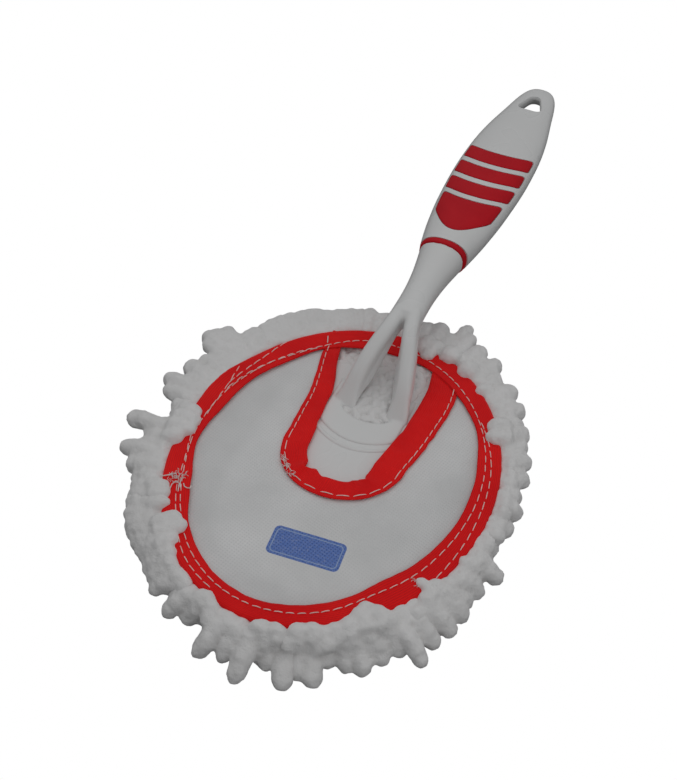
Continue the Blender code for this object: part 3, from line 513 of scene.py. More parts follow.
def push_out(mesh, distance):
    """Moves each point along its normal, by a distance that distance(point) gives."""
    normals = [vert.normal.copy() for vert in mesh.vertices]
    for vert, normal in zip(mesh.vertices, normals):
        vert.co += normal * distance(vert.co)
    mesh.update()


def clamp(value, low=0, high=1):
    return min(max(value, low), high)


def noise_at(x, y, z=0.0):
    """Smooth noise from about -1 to 1."""
    return noise.noise(Vector((x, y, z)))


print("helpers for shapes are ready")


# %% [markdown]
# ## The handle's lines
# The neck and the grip follow one line that rises gently from the head. Their sections are superellipses,
# fuller than an ellipse, as the moulding is. Widths and heights are given at a few places along the handle,
# as shares, and a smooth curve through them gives every section between.

# %% Read a smooth curve through pairs
def smooth_between(pairs, place):
    index = clamp(sum(1 for at, _ in pairs[1:-1] if place >= at), 0, len(pairs) - 2)
    (x0, y0), (x1, y1) = pairs[index], pairs[index + 1]

    def slope(i):
        low, high = pairs[max(i - 1, 0)], pairs[min(i + 1, len(pairs) - 1)]
        return (high[1] - low[1]) / (high[0] - low[0])

    span = x1 - x0
    t = (place - x0) / span
    return ((2 * t**3 - 3 * t**2 + 1) * y0 + (t**3 - 2 * t**2 + t) * span * slope(index)
            + (3 * t**2 - 2 * t**3) * y1 + (t**3 - t**2) * span * slope(index + 1))


# %% Where the handle's parts begin and end
TAPE_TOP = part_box("outer_binding")[1].z
COLLAR_FRONT, COLLAR_BACK = (corner.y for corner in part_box("collar_ring"))
COLLAR_Y = (COLLAR_FRONT + COLLAR_BACK) / 2
GRIP_FRONT, GRIP_TIP = (corner.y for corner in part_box("grip"))
GRIP_LENGTH = GRIP_TIP - GRIP_FRONT
SPLIT_Y = COLLAR_Y - 50.3 * MM
RING_FRONT = COLLAR_BACK - 3.3 * MM
GRIP_HALF, NECK_HALF = (21.6 * MM, 9.8 * MM), (8.4 * MM, 7.4 * MM)
SECTION_POWER = 2.3
RISES = ((SPLIT_Y, 21.5 * MM), (COLLAR_Y, 24.0 * MM), (GRIP_FRONT + GRIP_LENGTH / 2, 25.8 * MM),
         (GRIP_TIP, 26.4 * MM))
GRIP_SHARES = (((0.0, 0.640), (0.067, 0.745), (0.125, 0.818), (0.228, 0.916), (0.390, 0.997),
                (0.500, 1.0), (0.607, 0.960), (0.710, 0.860), (0.819, 0.702), (0.900, 0.585),
                (0.950, 0.475), (0.982, 0.325), (1.0, 0.090)),
               ((0.0, 1.060), (0.20, 1.035), (0.45, 0.980), (0.65, 0.900), (0.84, 0.700), (0.95, 0.520),
                (0.982, 0.380), (1.0, 0.090)))
NECK_SHARES = (((0.0, 1.02), (0.22, 0.985), (0.40, 1.015), (0.58, 1.12), (0.76, 1.29), (1.0, 1.56)),
               ((0.0, 0.80), (0.18, 0.88), (0.40, 1.0), (0.7, 1.16), (1.0, 1.40)))


def rise(y):
    return TAPE_TOP + smooth_between(RISES, clamp(y, SPLIT_Y, GRIP_TIP))


def grip_half(y):
    share = clamp((y - GRIP_FRONT) / GRIP_LENGTH)
    return [smooth_between(shares, share) * half for shares, half in zip(GRIP_SHARES, GRIP_HALF)]


def neck_half(y):
    share = clamp((y - SPLIT_Y) / (COLLAR_BACK - SPLIT_Y))
    return [smooth_between(shares, share) * half for shares, half in zip(NECK_SHARES, NECK_HALF)]


def signed_power(value, power):
    return math.copysign(abs(value) ** power, value)


def section(y, half_width, half_height, sides=72, below=1.0):
    """A ring of points round the handle's line, whose lower half can be shallower."""
    ring = []
    for i in range(sides):
        a = math.tau * (i + 0.5) / sides
        up = signed_power(math.sin(a), 2 / SECTION_POWER) * half_height
        ring.append((signed_power(math.cos(a), 2 / SECTION_POWER) * half_width, y,
                     rise(y) + (up if up > 0 else up * below)))
    return ring


print("grip from", round(GRIP_FRONT, 4), "to", round(GRIP_TIP, 4))

# %% [markdown]
# ## Neck and fork
# The neck splits into two legs that come down on the plate, and all of it is one moulding with soft inner
# corners. Joining the parts with a boolean would leave hard creases where they meet. Here the neck, the two
# legs and the raised floor under them are laid into each other as closed skins, melted into one surface by a
# voxel remesh, and eased, which leaves the small fillets that a mould has. A low bead runs along the front of
# the raised floor.

# %% Heights of the plate
PLATE_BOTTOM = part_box("head_frame")[0].z
PLATE_TOP = PLATE_BOTTOM + 2.5 * MM
PLATE_HALF = (60.5 * MM, 73.5 * MM)
NOTCH_HALF, NOTCH_FRONT, NOTCH_CORNER = 16.5 * MM, 31.5 * MM, 13.0 * MM
SILL_TOP = PLATE_TOP + 0.80 * MM
SILL_HALF, SILL_FRONT, SILL_BACK = 20.5 * MM, 16.5 * MM, 54.0 * MM
print("plate from", round(PLATE_BOTTOM, 5), "to", round(PLATE_TOP, 5))


# %% Outlines of the plate and of the raised floor
def notch_edge(steps):
    """The front of the notch, from its right side to its left."""
    turns = [-math.pi * i / steps for i in range(steps + 1)]
    return [(NOTCH_HALF * math.cos(a), NOTCH_FRONT + NOTCH_CORNER * (1 + math.sin(a))) for a in turns]


def plate_outline(steps=120):
    start = math.acos(NOTCH_HALF / PLATE_HALF[0])
    turns = [math.pi - start + (math.pi + 2 * start) * i / steps for i in range(steps + 1)]
    return [(PLATE_HALF[0] * math.cos(a), PLATE_HALF[1] * math.sin(a)) for a in turns] + notch_edge(24)


def sill_edge():
    """The bowed front of the raised floor."""
    return [(SILL_HALF * s, SILL_FRONT + 8.0 * MM * s**2) for s in (i / 10 for i in range(-10, 11))]


def sill_outline():
    return sill_edge() + [(SILL_HALF, SILL_BACK), (NOTCH_HALF, SILL_BACK)] + notch_edge(16) + [
        (-NOTCH_HALF, SILL_BACK), (-SILL_HALF, SILL_BACK)]


def slab(name, outline, low, high, round_over):
    """A flat moulding with a rounded rim, from a filled curve."""
    curve = bpy.data.curves.new(name, "CURVE")
    curve.dimensions = "2D"
    curve.fill_mode = "BOTH"
    curve.bevel_depth = round_over
    curve.bevel_resolution = 3
    curve.offset = -round_over
    curve.extrude = (high - low) / 2 - round_over
    spline = curve.splines.new("POLY")
    spline.points.add(len(outline) - 1)
    for point, (x, y) in zip(spline.points, outline):
        point.co = (x, y, 0, 1)
    spline.use_cyclic_u = True
    guide = into_scene(name, curve)
    bpy.context.view_layer.update()
    flat = evaluated_mesh(guide)
    bpy.data.objects.remove(guide, do_unlink=True)
    flat.transform(Matrix.Translation((0, 0, (low + high) / 2)))
    bm = bmesh.new()
    bm.from_mesh(flat)
    bpy.data.meshes.remove(flat)
    bmesh.ops.remove_doubles(bm, verts=bm.verts, dist=0.01 * MM)
    return closed_mesh(bm, name, sharp=40)


# %% Plate
plate = slab("pocket_plate", plate_outline(), PLATE_BOTTOM, PLATE_TOP, round_over=0.8 * MM)
place_piece("pocket_plate", plate, "handle", moulding, "head_frame")


# %% Legs of the fork
LEG_HALF = (4.4 * MM, 5.75 * MM)
LEG_FEET = {-1: Vector((-12.6, 37.5, 0)) * MM, 1: Vector((15.6, 37.5, 0)) * MM}
LEG_POWER = 3.0
ACROSS_SHARES = ((0.0, 0.0), (0.25, 0.16), (0.5, 0.42), (0.75, 0.76), (1.0, 1.0))
ALONG_SHARES = ((0.0, 0.0), (0.25, 0.285), (0.5, 0.51), (0.75, 0.75), (1.0, 1.0))
UP_SHARES = ((0.0, 0.0), (0.25, 0.36), (0.5, 0.66), (0.75, 0.89), (1.0, 1.0))
LEG_HEIGHT_SHARES = ((0.0, 0.20), (0.08, 0.42), (0.26, 0.98), (0.5, 1.0), (0.75, 1.02), (1.0, 1.08))
LEG_WIDTH_SHARES = ((0.0, 1.15), (0.12, 1.06), (0.25, 1.0), (0.5, 0.96), (0.75, 0.94), (1.0, 0.94))
FLARE_SHARES = ((0.0, 1.0), (0.25, 1.7), (0.5, 1.7), (0.75, 1.2), (1.0, 1.0))


def leg_rings(hand, steps=36, sides=48):
    """Sections of one leg, wider below on its inner side, from the plate up into the neck."""
    foot = LEG_FEET[hand] + Vector((0, 0, PLATE_BOTTOM + 1.0 * MM))
    run = Vector((hand * 3.36 * MM, SPLIT_Y + 4.2 * MM, TAPE_TOP + 21.5 * MM)) - foot
    centres = [foot + Vector([length * smooth_between(shares, i / steps) for length, shares in
                              zip(run, (ACROSS_SHARES, ALONG_SHARES, UP_SHARES))]) for i in range(steps + 1)]
    rings = []
    for i, centre in enumerate(centres):
        t = i / steps
        along = (centres[min(i + 1, steps)] - centres[max(i - 1, 0)]).normalized()
        across = (Vector((1, 0, 0)) - along * along.x).normalized()
        up = across.cross(along)
        half_width = LEG_HALF[0] * smooth_between(LEG_WIDTH_SHARES, t) * (1 + 0.30 * max(1 - t / 0.2, 0) ** 2)
        half_height = LEG_HALF[1] * smooth_between(LEG_HEIGHT_SHARES, t)
        ring = []
        for k in range(sides):
            a = math.tau * k / sides
            u = signed_power(math.cos(a), 2 / LEG_POWER) * half_width
            v = signed_power(math.sin(a), 2 / LEG_POWER) * half_height
            if u * hand < 0 and v < 0:
                u *= 1 + (smooth_between(FLARE_SHARES, t) - 1) * min(-v / (LEG_HALF[1] / 1.5), 1)
            ring.append(centre + across * u + up * v)
        rings.append(ring)
    return rings


# %% Neck, fork and raised floor as one moulding
NECK_STEPS = 28
BEAD_AHEAD, BEAD_BELOW, BEAD_RADIUS = 3.8 * MM, 0.75 * MM, 1.6 * MM
bm = bmesh.new()
neck_rings = []
for ahead, share in ((0.18, 0.55), (0.08, 0.82)):
    slimmer = [half * share for half in neck_half(SPLIT_Y)]
    neck_rings.append(section(SPLIT_Y - 16.8 * MM * ahead, *slimmer, 48))
for i in range(NECK_STEPS + 1):
    y = SPLIT_Y + (RING_FRONT + 0.1 * MM - SPLIT_Y) * i / NECK_STEPS
    neck_rings.append(section(y, *neck_half(y), 48))
skin(bm, neck_rings)
for hand in (-1, 1):
    skin(bm, leg_rings(hand))
fork_floor = slab("fork_floor", sill_outline(), PLATE_BOTTOM + 0.9 * MM, SILL_TOP, round_over=0.45 * MM)
bm.from_mesh(fork_floor)
bpy.data.meshes.remove(fork_floor)
bead = [Vector((x, y - BEAD_AHEAD, PLATE_TOP - BEAD_BELOW)) for x, y in sill_edge()]
strand(bm, bead, [BEAD_RADIUS] * len(bead), sides=12)

fork = place_piece("neck_and_fork", closed_mesh(bm, "neck_and_fork"), "handle", moulding, "head_frame")
melt(fork, voxel=0.6 * MM, passes=14)
bm = bmesh.new()
bm.from_mesh(fork.data)
bmesh.ops.bisect_plane(bm, geom=bm.verts[:] + bm.edges[:] + bm.faces[:], clear_inner=True,
                       plane_co=(0, 0, PLATE_BOTTOM + 0.35 * MM), plane_no=(0, 0, 1))
bmesh.ops.holes_fill(bm, edges=[edge for edge in bm.edges if edge.is_boundary])
bm.to_mesh(fork.data)
bm.free()
fork.data.shade_smooth()


# %% [markdown]
# ## Grip, ring and soft inlays
# The grip is a slim paddle with a rounded triangular hole near its tip to hang it by. Its three bands and
# thumb pad are a soft rubber, moulded into shallow recesses in its top. The recess and the inlay come from
# one outline, the recess a little larger, and the thin gap between them is the dark line that shows round
# each inlay. The inlay's top rim also has painted shade, a dark red that deepens that line.

# %% A point on the top of the grip
def on_grip(x, y, out):
    """The point of the grip's top above (x, y), moved out along the surface's normal."""
    width, height = grip_half(y)
    across = min(abs(x) / width, 0.985)
    up = (1 - across**SECTION_POWER) ** (1 / SECTION_POWER)
    lean = signed_power(x / width, SECTION_POWER - 1) / width
    normal = Vector((lean, 0, up ** (SECTION_POWER - 1) / height)).normalized()
    return Vector((math.copysign(across * width, x), y, rise(y) + up * height)) + normal * out


# %% Outlines of the inlays
BAND_REACH, PAD_REACH = 19.6 * MM, 18.8 * MM
GROOVE = 0.3 * MM
BANDS = [COLLAR_Y + (49.6 + 16.3 * i) * MM for i in range(3)]


def smile(x):
    return 7.8 * MM * abs(x / BAND_REACH) ** 2.4


def round_end(x, reach, half, corner):
    """Half of an inlay's length at x, less where its corners are rounded."""
    past = clamp((abs(x) - (reach - corner)) / corner)
    return half - corner + corner * (1 - past**2) ** 0.5


def band_span(middle, grow):
    """For each x, the lowest and highest y of a band."""
    def span(x):
        half = round_end(x, BAND_REACH + grow, 5.9 * MM + grow, 1.7 * MM)
        return middle + smile(x) - half, middle + smile(x) + half
    return span


def pad_span(grow):
    """For each x, the lowest and highest y of the thumb pad."""
    def span(x):
        low = COLLAR_Y + 12.1 * MM - grow + 17.0 * MM * abs(x / PAD_REACH) ** 2.2
        high = COLLAR_Y + 39.5 * MM + grow + smile(x)
        half = round_end(x, PAD_REACH + grow, (high - low) / 2, 2.2 * MM)
        return (low + high) / 2 - half, (low + high) / 2 + half
    return span


def inlay_mesh(name, span, reach, bottom, top, dome, columns=56, rows=14):
    """A thick patch along the grip's top, slimmer where the grip is, its rim rounded down by dome."""
    bm = bmesh.new()
    # The top rim is marked so that the rubber can paint the groove's shade there.
    rim_layer = bm.verts.layers.float.new("rim")
    layers = []
    for on_top in (False, True):
        grid = []
        for i in range(columns + 1):
            s = math.sin(math.pi / 2 * (2 * i / columns - 1))
            x = reach * s * 0.9995
            low, high = span(x)
            grid.append([])
            for j in range(rows + 1):
                t = math.sin(math.pi / 2 * (2 * j / rows - 1))
                y = (low + high) / 2 + (high - low) / 2 * t
                out = top - dome * max(abs(s), abs(t)) ** 18 if on_top else bottom
                vert = bm.verts.new(on_grip(x * min(grip_half(y)[0] / GRIP_HALF[0], 1), y, out))
                vert[rim_layer] = float(on_top and (i in (0, columns) or j in (0, rows)))
                grid[i].append(vert)
        for i in range(columns):
            for j in range(rows):
                bm.faces.new((grid[i][j], grid[i + 1][j], grid[i + 1][j + 1], grid[i][j + 1]))
        layers.append(grid)
    lower, upper = layers
    rim_path = ([(i, 0) for i in range(columns)] + [(columns, j) for j in range(rows)]
                + [(i, rows) for i in range(columns, 0, -1)] + [(0, j) for j in range(rows, 0, -1)])
    for (a, b), (c, d) in zip(rim_path, rim_path[1:] + rim_path[:1]):
        bm.faces.new((lower[a][b], lower[c][d], upper[c][d], upper[a][b]))
    bmesh.ops.remove_doubles(bm, verts=bm.verts, dist=0.002 * MM)
    return closed_mesh(bm, name, sharp=50)


# %% Hanging hole
HOLE_Y = GRIP_TIP - 24.5 * MM
HOLE_HALF, HOLE_CORNER = (6.5 * MM, 8.25 * MM), 3.2 * MM
HOLE_ABOVE = ((-2.6, 0.0), (-1.8, 0.12), (-1.0, 0.38), (-0.45, 0.72), (0.2, 1.25), (2.0, 2.2))


def hole_outline(grow):
    """A rounded triangle that narrows towards the tip."""
    across, along = (half - HOLE_CORNER for half in HOLE_HALF)
    corners = [Vector((across, -along)), Vector((0, along)), Vector((-across, -along))]
    points = []
    for i, here in enumerate(corners):
        before, after = corners[i - 1], corners[(i + 1) % 3]
        start = math.atan2(-(here - before).x, (here - before).y)
        end = math.atan2(-(after - here).x, (after - here).y)
        while end < start:
            end += math.tau
        for k in range(11):
            a = start + (end - start) * k / 10
            spot = Vector((0, HOLE_Y)) + here + Vector((math.cos(a), math.sin(a))) * (HOLE_CORNER + grow)
            points.append(spot)
    return points


def hole_cutter():
    """The hole, with a rounded rim above and a wide one below that opens out towards the tip."""
    height = grip_half(HOLE_Y)[1]
    below = ((-height - 2.0 * MM, 4.2), (-height * 0.6, 2.6), (-height * 0.3, 1.2), (0.0, 0.4))
    rings = []
    for up, grow in below + tuple((height + past * MM, grow) for past, grow in HOLE_ABOVE):
        slant = max(height * 0.5 - up, 0) * 0.62
        rings.append([(p.x, p.y + slant, rise(HOLE_Y) + up) for p in hole_outline(grow * MM)])
    return skin_mesh("hole", rings)


# %% Grip with its recesses
GRIP_STEPS = 110
RECESS_BOTTOM, RECESS_TOP = -1.1 * MM, 2 * MM
BELOW_SHARES = ((0, 1.0), (0.62, 1.0), (0.84, 0.40), (1.0, 0.40))


def cut_with(obj, mesh):
    cutter = into_scene("cutter", mesh)
    modify(obj, "BOOLEAN", operation="DIFFERENCE", object=cutter)
    settle(obj)
    bpy.data.objects.remove(cutter, do_unlink=True)


grip_rings = []
for i in range(GRIP_STEPS + 1):
    even = i / GRIP_STEPS
    share = min(even + (math.sin(math.pi / 2 * even) - even) * max((even - 0.72) / 0.28, 0), 1)
    y = GRIP_FRONT + GRIP_LENGTH * share
    grip_rings.append(section(y, *grip_half(y), below=smooth_between(BELOW_SHARES, share)))
grip = place_piece("paddle_grip", skin_mesh("paddle_grip", grip_rings), "handle", moulding, "grip")
cut_with(grip, hole_cutter())
recesses = [(pad_span(GROOVE), PAD_REACH)] + [(band_span(middle, GROOVE), BAND_REACH) for middle in BANDS]
for span, reach in recesses:
    cut_with(grip, inlay_mesh("recess", span, reach + GROOVE, RECESS_BOTTOM, RECESS_TOP, dome=0))
grip.data.shade_smooth()
grip.data.set_sharp_from_angle(angle=math.radians(32))

# %% Thumb pad and bands
INLAY_BOTTOM, INLAY_TOP, INLAY_DOME = -1.05 * MM, 0.35 * MM, 0.5 * MM
INLAYS = [("soft_thumb_pad", pad_span(0), PAD_REACH, "thumb_pad")]
INLAYS += [(f"soft_band_{i + 1}", band_span(middle, 0), BAND_REACH, f"grip_band_{i + 1}")
           for i, middle in enumerate(BANDS)]
for name, span, reach, node in INLAYS:
    inlay = inlay_mesh(name, span, reach, INLAY_BOTTOM, INLAY_TOP, INLAY_DOME)
    place_piece(name, inlay, "handle", rubber, node)



# %% Ring between the neck and the grip
RING_STEPS = 12
RING_CROWN, RING_SUNK, RING_LIP = 0.5 * MM, 0.1 * MM, 1.2 * MM


def ring_section(share, out):
    y = RING_FRONT + (COLLAR_BACK - RING_FRONT) * share
    return section(y, *[half + out for half in neck_half(y)])


ring_rows = [ring_section(0, -RING_LIP)]
for i in range(RING_STEPS + 1):
    share = i / RING_STEPS
    ring_rows.append(ring_section(share, RING_CROWN * (1 - abs(2 * share - 1) ** 4) - RING_SUNK))
ring_rows.append(ring_section(1, -RING_LIP))
ring_mesh = skin_mesh("soft_collar_ring", ring_rows, sharp=50)
place_piece("soft_collar_ring", ring_mesh, "handle", rubber, "collar_ring")


# %% [markdown]
# ## The cover's oval and its cloths
# The cover is an oval bag: a base cloth below, an upper cloth with a U-shaped mouth above, and the plate
# between them. Both cloths are sheets, cut to an oval. The upper one rests on the plate, so it is flat over
# it, falls a little past the plate's rim, and has the soft dents of cloth that was packed. The dents come
# from smooth noise in the mesh, not from a simulation, because the cloth is held all round and hardly moves.

# %% The bound edge
HEAD_LOW, HEAD_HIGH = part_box("outer_binding")
HALF_WIDTH, HALF_LENGTH = HEAD_HIGH.x, HEAD_HIGH.y
LEAF_TOP, LEAF_BOTTOM = TAPE_TOP - 0.35 * MM, HEAD_LOW.z + 0.35 * MM


def outwards(turn):
    """The direction square to the head's bound edge."""
    return Vector((math.cos(turn) / HALF_WIDTH, math.sin(turn) / HALF_LENGTH, 0)).normalized()


def edge_point(turn, inset, z=0.0):
    """A point on the head's bound edge, moved in square to it."""
    return Vector((HALF_WIDTH * math.cos(turn), HALF_LENGTH * math.sin(turn), z)) - outwards(turn) * inset


def ripple(x, y, size, seed):
    """Noise whose waves are about as wide as size."""
    return noise_at(x / size, y / size, seed * 7.31)


print("bound edge", round(HALF_WIDTH * 2, 4), "by", round(HALF_LENGTH * 2, 4))

# %% The U of the mouth
MOUTH_BEND, MOUTH_FAR, MOUTH_MIDDLE = 8.0 * MM, 82.0 * MM, 1.0 * MM
ARM_SHARE = 0.36
LEFT_INNER = ((8, -16.6), (20, -18.3), (34, -20.4), (48, -22.7), (60, -27.0), (86, -34.0))
LEFT_OUTER = ((8, -28.5), (22, -29.5), (36, -30.5), (50, -33.3), (65, -36.8), (86, -39.0))
RIGHT_INNER = ((8, 17.8), (24, 20.4), (40, 22.4), (62, 22.8), (72, 21.2), (86, 18.0))
RIGHT_OUTER = ((8, 32.5), (24, 35.4), (40, 37.1), (54, 38.0), (66, 37.0), (86, 33.0))
INNER_DEPTH, OUTER_DEPTH = 18.2 * MM, 29.4 * MM


def arm_x(hand, reach, y):
    """The x of an arm of the U at y, for a share from its inner edge to its outer one."""
    edges = (RIGHT_INNER, RIGHT_OUTER) if hand > 0 else (LEFT_INNER, LEFT_OUTER)
    low, high = (smooth_between(edge, max(y, MOUTH_BEND) / MM) for edge in edges)
    return (low + (high - low) * reach) * MM


def bend(hand, reach):
    """How deep the bend of the U is, and how square. The right of its inner edge is the squarest."""
    depth = INNER_DEPTH + (OUTER_DEPTH - INNER_DEPTH) * reach
    return depth, (2.8 - 0.85 * reach if hand > 0 else 2.1 + 0.1 * reach)


def mouth_point(run, reach):
    """A point of the U, for a share along it and a share from its inner edge to its outer one."""
    if run < ARM_SHARE or run > 1 - ARM_SHARE:
        hand = 1 if run < 0.5 else -1
        along = 1 - run / ARM_SHARE if hand > 0 else (run - 1 + ARM_SHARE) / ARM_SHARE
        y = MOUTH_BEND + (MOUTH_FAR - MOUTH_BEND) * along
        return Vector((arm_x(hand, reach, y), y, 0))
    a = -math.pi * (run - ARM_SHARE) / (1 - 2 * ARM_SHARE)
    hand = 1 if math.cos(a) > 0 else -1
    side = arm_x(hand, reach, MOUTH_BEND) - MOUTH_MIDDLE
    depth, power = bend(hand, reach)
    return Vector((MOUTH_MIDDLE + abs(math.cos(a)) ** (2 / power) * side,
                   MOUTH_BEND - abs(math.sin(a)) ** (2 / power) * depth, 0))


def in_mouth(x, y, reach):
    """True inside the U, up to a share of its tape's width."""
    hand = 1 if x > MOUTH_MIDDLE else -1
    side = abs(arm_x(hand, reach, y) - MOUTH_MIDDLE)
    if y > MOUTH_BEND:
        return abs(x - MOUTH_MIDDLE) < side
    depth, power = bend(hand, reach)
    return abs((x - MOUTH_MIDDLE) / side) ** power + abs((y - MOUTH_BEND) / depth) ** power < 1


# %% Cut a cloth from a fine grid
CLOTH_INSET = 2.2 * MM


def in_oval(x, y):
    return math.hypot(x / (HALF_WIDTH - CLOTH_INSET), y / (HALF_LENGTH - CLOTH_INSET)) < 1


def cloth_mesh(name, keep, height, pitch):
    """Cells of a square grid that keep(x, y) allows, at height(x, y). Also returns their flat area."""
    bm = bmesh.new()
    uv = bm.loops.layers.uv.new("run")
    columns, rows = int(HALF_WIDTH / pitch), int(HALF_LENGTH / pitch)
    verts = {}
    for i in range(-columns, columns):
        for j in range(-rows, rows):
            if keep((i + 0.5) * pitch, (j + 0.5) * pitch):
                spots = [(a * pitch, b * pitch) for a, b in ((i, j), (i + 1, j), (i + 1, j + 1), (i, j + 1))]
                for spot in spots:
                    if spot not in verts:
                        verts[spot] = bm.verts.new((*spot, height(*spot)))
                run_face(bm, uv, [verts[spot] for spot in spots], spots)
    area = len(bm.faces) * pitch * pitch
    return to_mesh(bm, name), area


# %% Base cloth
BASE_LOW, BASE_HIGH = (corner.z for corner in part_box("base_cloth"))


def base_height(x, y):
    return (BASE_LOW + BASE_HIGH) / 2 + 0.12 * MM * ripple(x, y, 18 * MM, 1)


base_mesh, base_area = cloth_mesh("base_sheet", in_oval, base_height, pitch=1.5 * MM)
base_cloth = place_piece("base_sheet", base_mesh, "cover", cloth, "base_cloth")
thicken(base_cloth, thickness=0.5 * MM)

# %% Upper cloth of the pocket
PANEL_LOW, PANEL_HIGH = (corner.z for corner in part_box("pocket_panel"))
RIM_FROM, RIM_SPAN, SAG = 0.96, 0.12, 0.5 * MM
PANEL_DROP = 0.30 * MM


def panel_height(x, y):
    """The cloth lies on the plate with shallow dents, and sags past its rim."""
    past_rim = clamp((math.hypot(x / PLATE_HALF[0], y / PLATE_HALF[1]) - RIM_FROM) / RIM_SPAN)
    dents = 0.55 * MM * ripple(x, y, 34 * MM, 2) + 0.28 * MM * ripple(x + y * 0.3, y, 15 * MM, 3)
    drape = 0.25 * MM * ripple(x * 0.25, y, 9 * MM, 4)
    sag = SAG * past_rim * past_rim * (3 - 2 * past_rim)
    return (PANEL_LOW + PANEL_HIGH) / 2 - PANEL_DROP + min(dents + drape, PANEL_DROP) - sag


panel_mesh, panel_area = cloth_mesh("pocket_sheet", lambda x, y: in_oval(x, y) and not in_mouth(x, y, 0.45),
                                    panel_height, pitch=1.1 * MM)
panel = place_piece("pocket_sheet", panel_mesh, "cover", cloth, "pocket_panel")
thicken(panel, thickness=0.35 * MM)
print("upper cloth area", round(panel_area, 5))


# %% [markdown]
# ## Red tapes
# A woven tape is folded over the oval edge of both cloths, and another over the edge of the mouth, and each
# is sewn down. A tape that is pulled round a curve doesn't lie flat: its inner edge has wavy gathers and
# short pleats, and each stitch pulls a small dimple. So each tape is one strip, swept along its path through
# a folded section, with the waves, pleats and dimples moved into the mesh. Its UV map counts metres along and
# across the strip, which the ribs follow.

# %% Read a folded section
def section_length(points):
    return sum(math.dist(a, b) for a, b in zip(points, points[1:]))


def along_section(points, share):
    """The point at a share of the length of a row of (inset, height) points."""
    left = share * section_length(points)
    for a, b in zip(points, points[1:]):
        step = math.dist(a, b)
        if left <= step:
            t = left / step
            return a[0] + (b[0] - a[0]) * t, a[1] + (b[1] - a[1]) * t
        left -= step
    return points[-1]


# %% Rows of stitches on the oval
PERIMETER = sum((edge_point(math.tau * i / 720, 0) - edge_point(math.tau * (i + 1) / 720, 0)).length
                for i in range(720))
BAND = 12.0 * MM
BAND_INSETS = ((0, 11.4), (20, 11.5), (36, 10.8), (50, 12.2), (74, 13.6), (92, 14.8), (112, 13.6),
               (127, 12.4), (142, 13.5), (158, 12.4), (176, 12.8), (190, 11.1), (208, 13.4), (230, 11.1),
               (256, 9.5), (274, 9.7), (292, 11.4), (306, 12.8), (320, 14.7), (332, 13.4), (346, 12.2),
               (360, 11.4))
FIRST_ROW = ((0, 7.9), (15, 7.6), (30, 7.9), (52, 8.7), (80, 9.2), (108, 8.6), (126, 10.6), (142, 9.9),
             (158, 8.6), (170, 7.7), (190, 8.1), (204, 9.3), (222, 8.6), (240, 7.0), (264, 6.0), (285, 6.7),
             (300, 8.0), (314, 10.1), (330, 9.0), (345, 8.6), (360, 7.9))
OTHER_ROWS = (((333, 2.0), (345, 3.2), (360, 4.2), (376, 4.7), (388, 5.8), (399, 7.5)), ((189, 6.8),
              (200, 8.5), (212, 7.2), (226, 6.0), (240, 3.5), (256, 3.2)), ((137, 0.3), (145, 3.4),
              (152, 4.8), (166, 5.4)), ((156, 0.3), (160, 2.7), (166, 5.8), (175, 7.7), (181, 8.4)),
              ((128, 11.3), (140, 10.8), (150, 9.0), (158, 7.8), (168, 7.0)))


def around(pairs, turn):
    """A distance at an angle round the oval, from pairs in degrees and millimetres."""
    return smooth_between(pairs, math.degrees(turn) % 360) * MM


# %% Outer tape
FOLD_INSET, LOWER_FOLD, DIMPLE_PITCH, TAPE_THICK = 1.6 * MM, 2.2 * MM, 6.2 * MM, 0.5 * MM
BAND_SECTION = [(10.4 * MM, LEAF_BOTTOM), (LOWER_FOLD, LEAF_BOTTOM), (0.7 * MM, LEAF_BOTTOM + 0.5 * MM),
                (0.1 * MM, LEAF_BOTTOM + 1.8 * MM), (0.0, LEAF_TOP - 1.5 * MM),
                (0.4 * MM, LEAF_TOP - 0.4 * MM), (FOLD_INSET, LEAF_TOP), (BAND, LEAF_TOP)]
BULGE_AT, BULGE_WIDTH, BULGE_OUT, BULGE_REACH = math.radians(164), 0.17, 2.7 * MM, 7 * MM
SLOW_WAVE, SHORT_KINK, LEAF_RIPPLE = 0.75 * MM, 0.55 * MM, 0.16 * MM
ROW_WIDTH, ROW_DEPTH = 1.3 * MM, 0.22 * MM
EDGE_DROP, EDGE_SHARE = 0.12 * MM, 0.12


def bulge(turn):
    """A smooth hill of height 1 where the tape stands out a little further."""
    apart = (turn - BULGE_AT + math.pi) % math.tau - math.pi
    return math.exp(-(apart / BULGE_WIDTH) ** 2)


def band_wave(turn):
    """How far the inner edge of the tape wanders: slow waves, and short kinks where it was eased round."""
    x, y = math.cos(turn), math.sin(turn)
    return SLOW_WAVE * noise_at(x * 3.5, y * 3.5, 1.7) + SHORT_KINK * noise_at(x * 13, y * 13, 5.2)


def band_place(u, v):
    turn = math.tau * u
    inset, z = along_section(BAND_SECTION, v)
    if z > TAPE_TOP - 3 * MM:
        share = max(inset - FOLD_INSET, 0) / (BAND - FOLD_INSET)
        inset += (around(BAND_INSETS, turn) - BAND + 0.5 * band_wave(turn)) * share
        inset -= BULGE_OUT * bulge(turn) * max(1 - inset / BULGE_REACH, 0)
        from_row = (inset - around(FIRST_ROW, turn)) / ROW_WIDTH
        stitch = 0.5 + 0.5 * math.cos(math.tau * u * PERIMETER / DIMPLE_PITCH)
        z -= ROW_DEPTH * math.exp(-from_row**2) * (0.5 + 0.5 * stitch)
        z += LEAF_RIPPLE * noise_at(math.cos(turn) * 10, math.sin(turn) * 10, inset / (4 * MM))
        z -= EDGE_DROP * max(share - (1 - EDGE_SHARE), 0) / EDGE_SHARE
    elif z < LEAF_BOTTOM + 1 * MM and inset > LOWER_FOLD:
        inset += band_wave(turn + 0.4) * (inset - LOWER_FOLD) / (BAND - LOWER_FOLD)
    return edge_point(turn, inset, z)


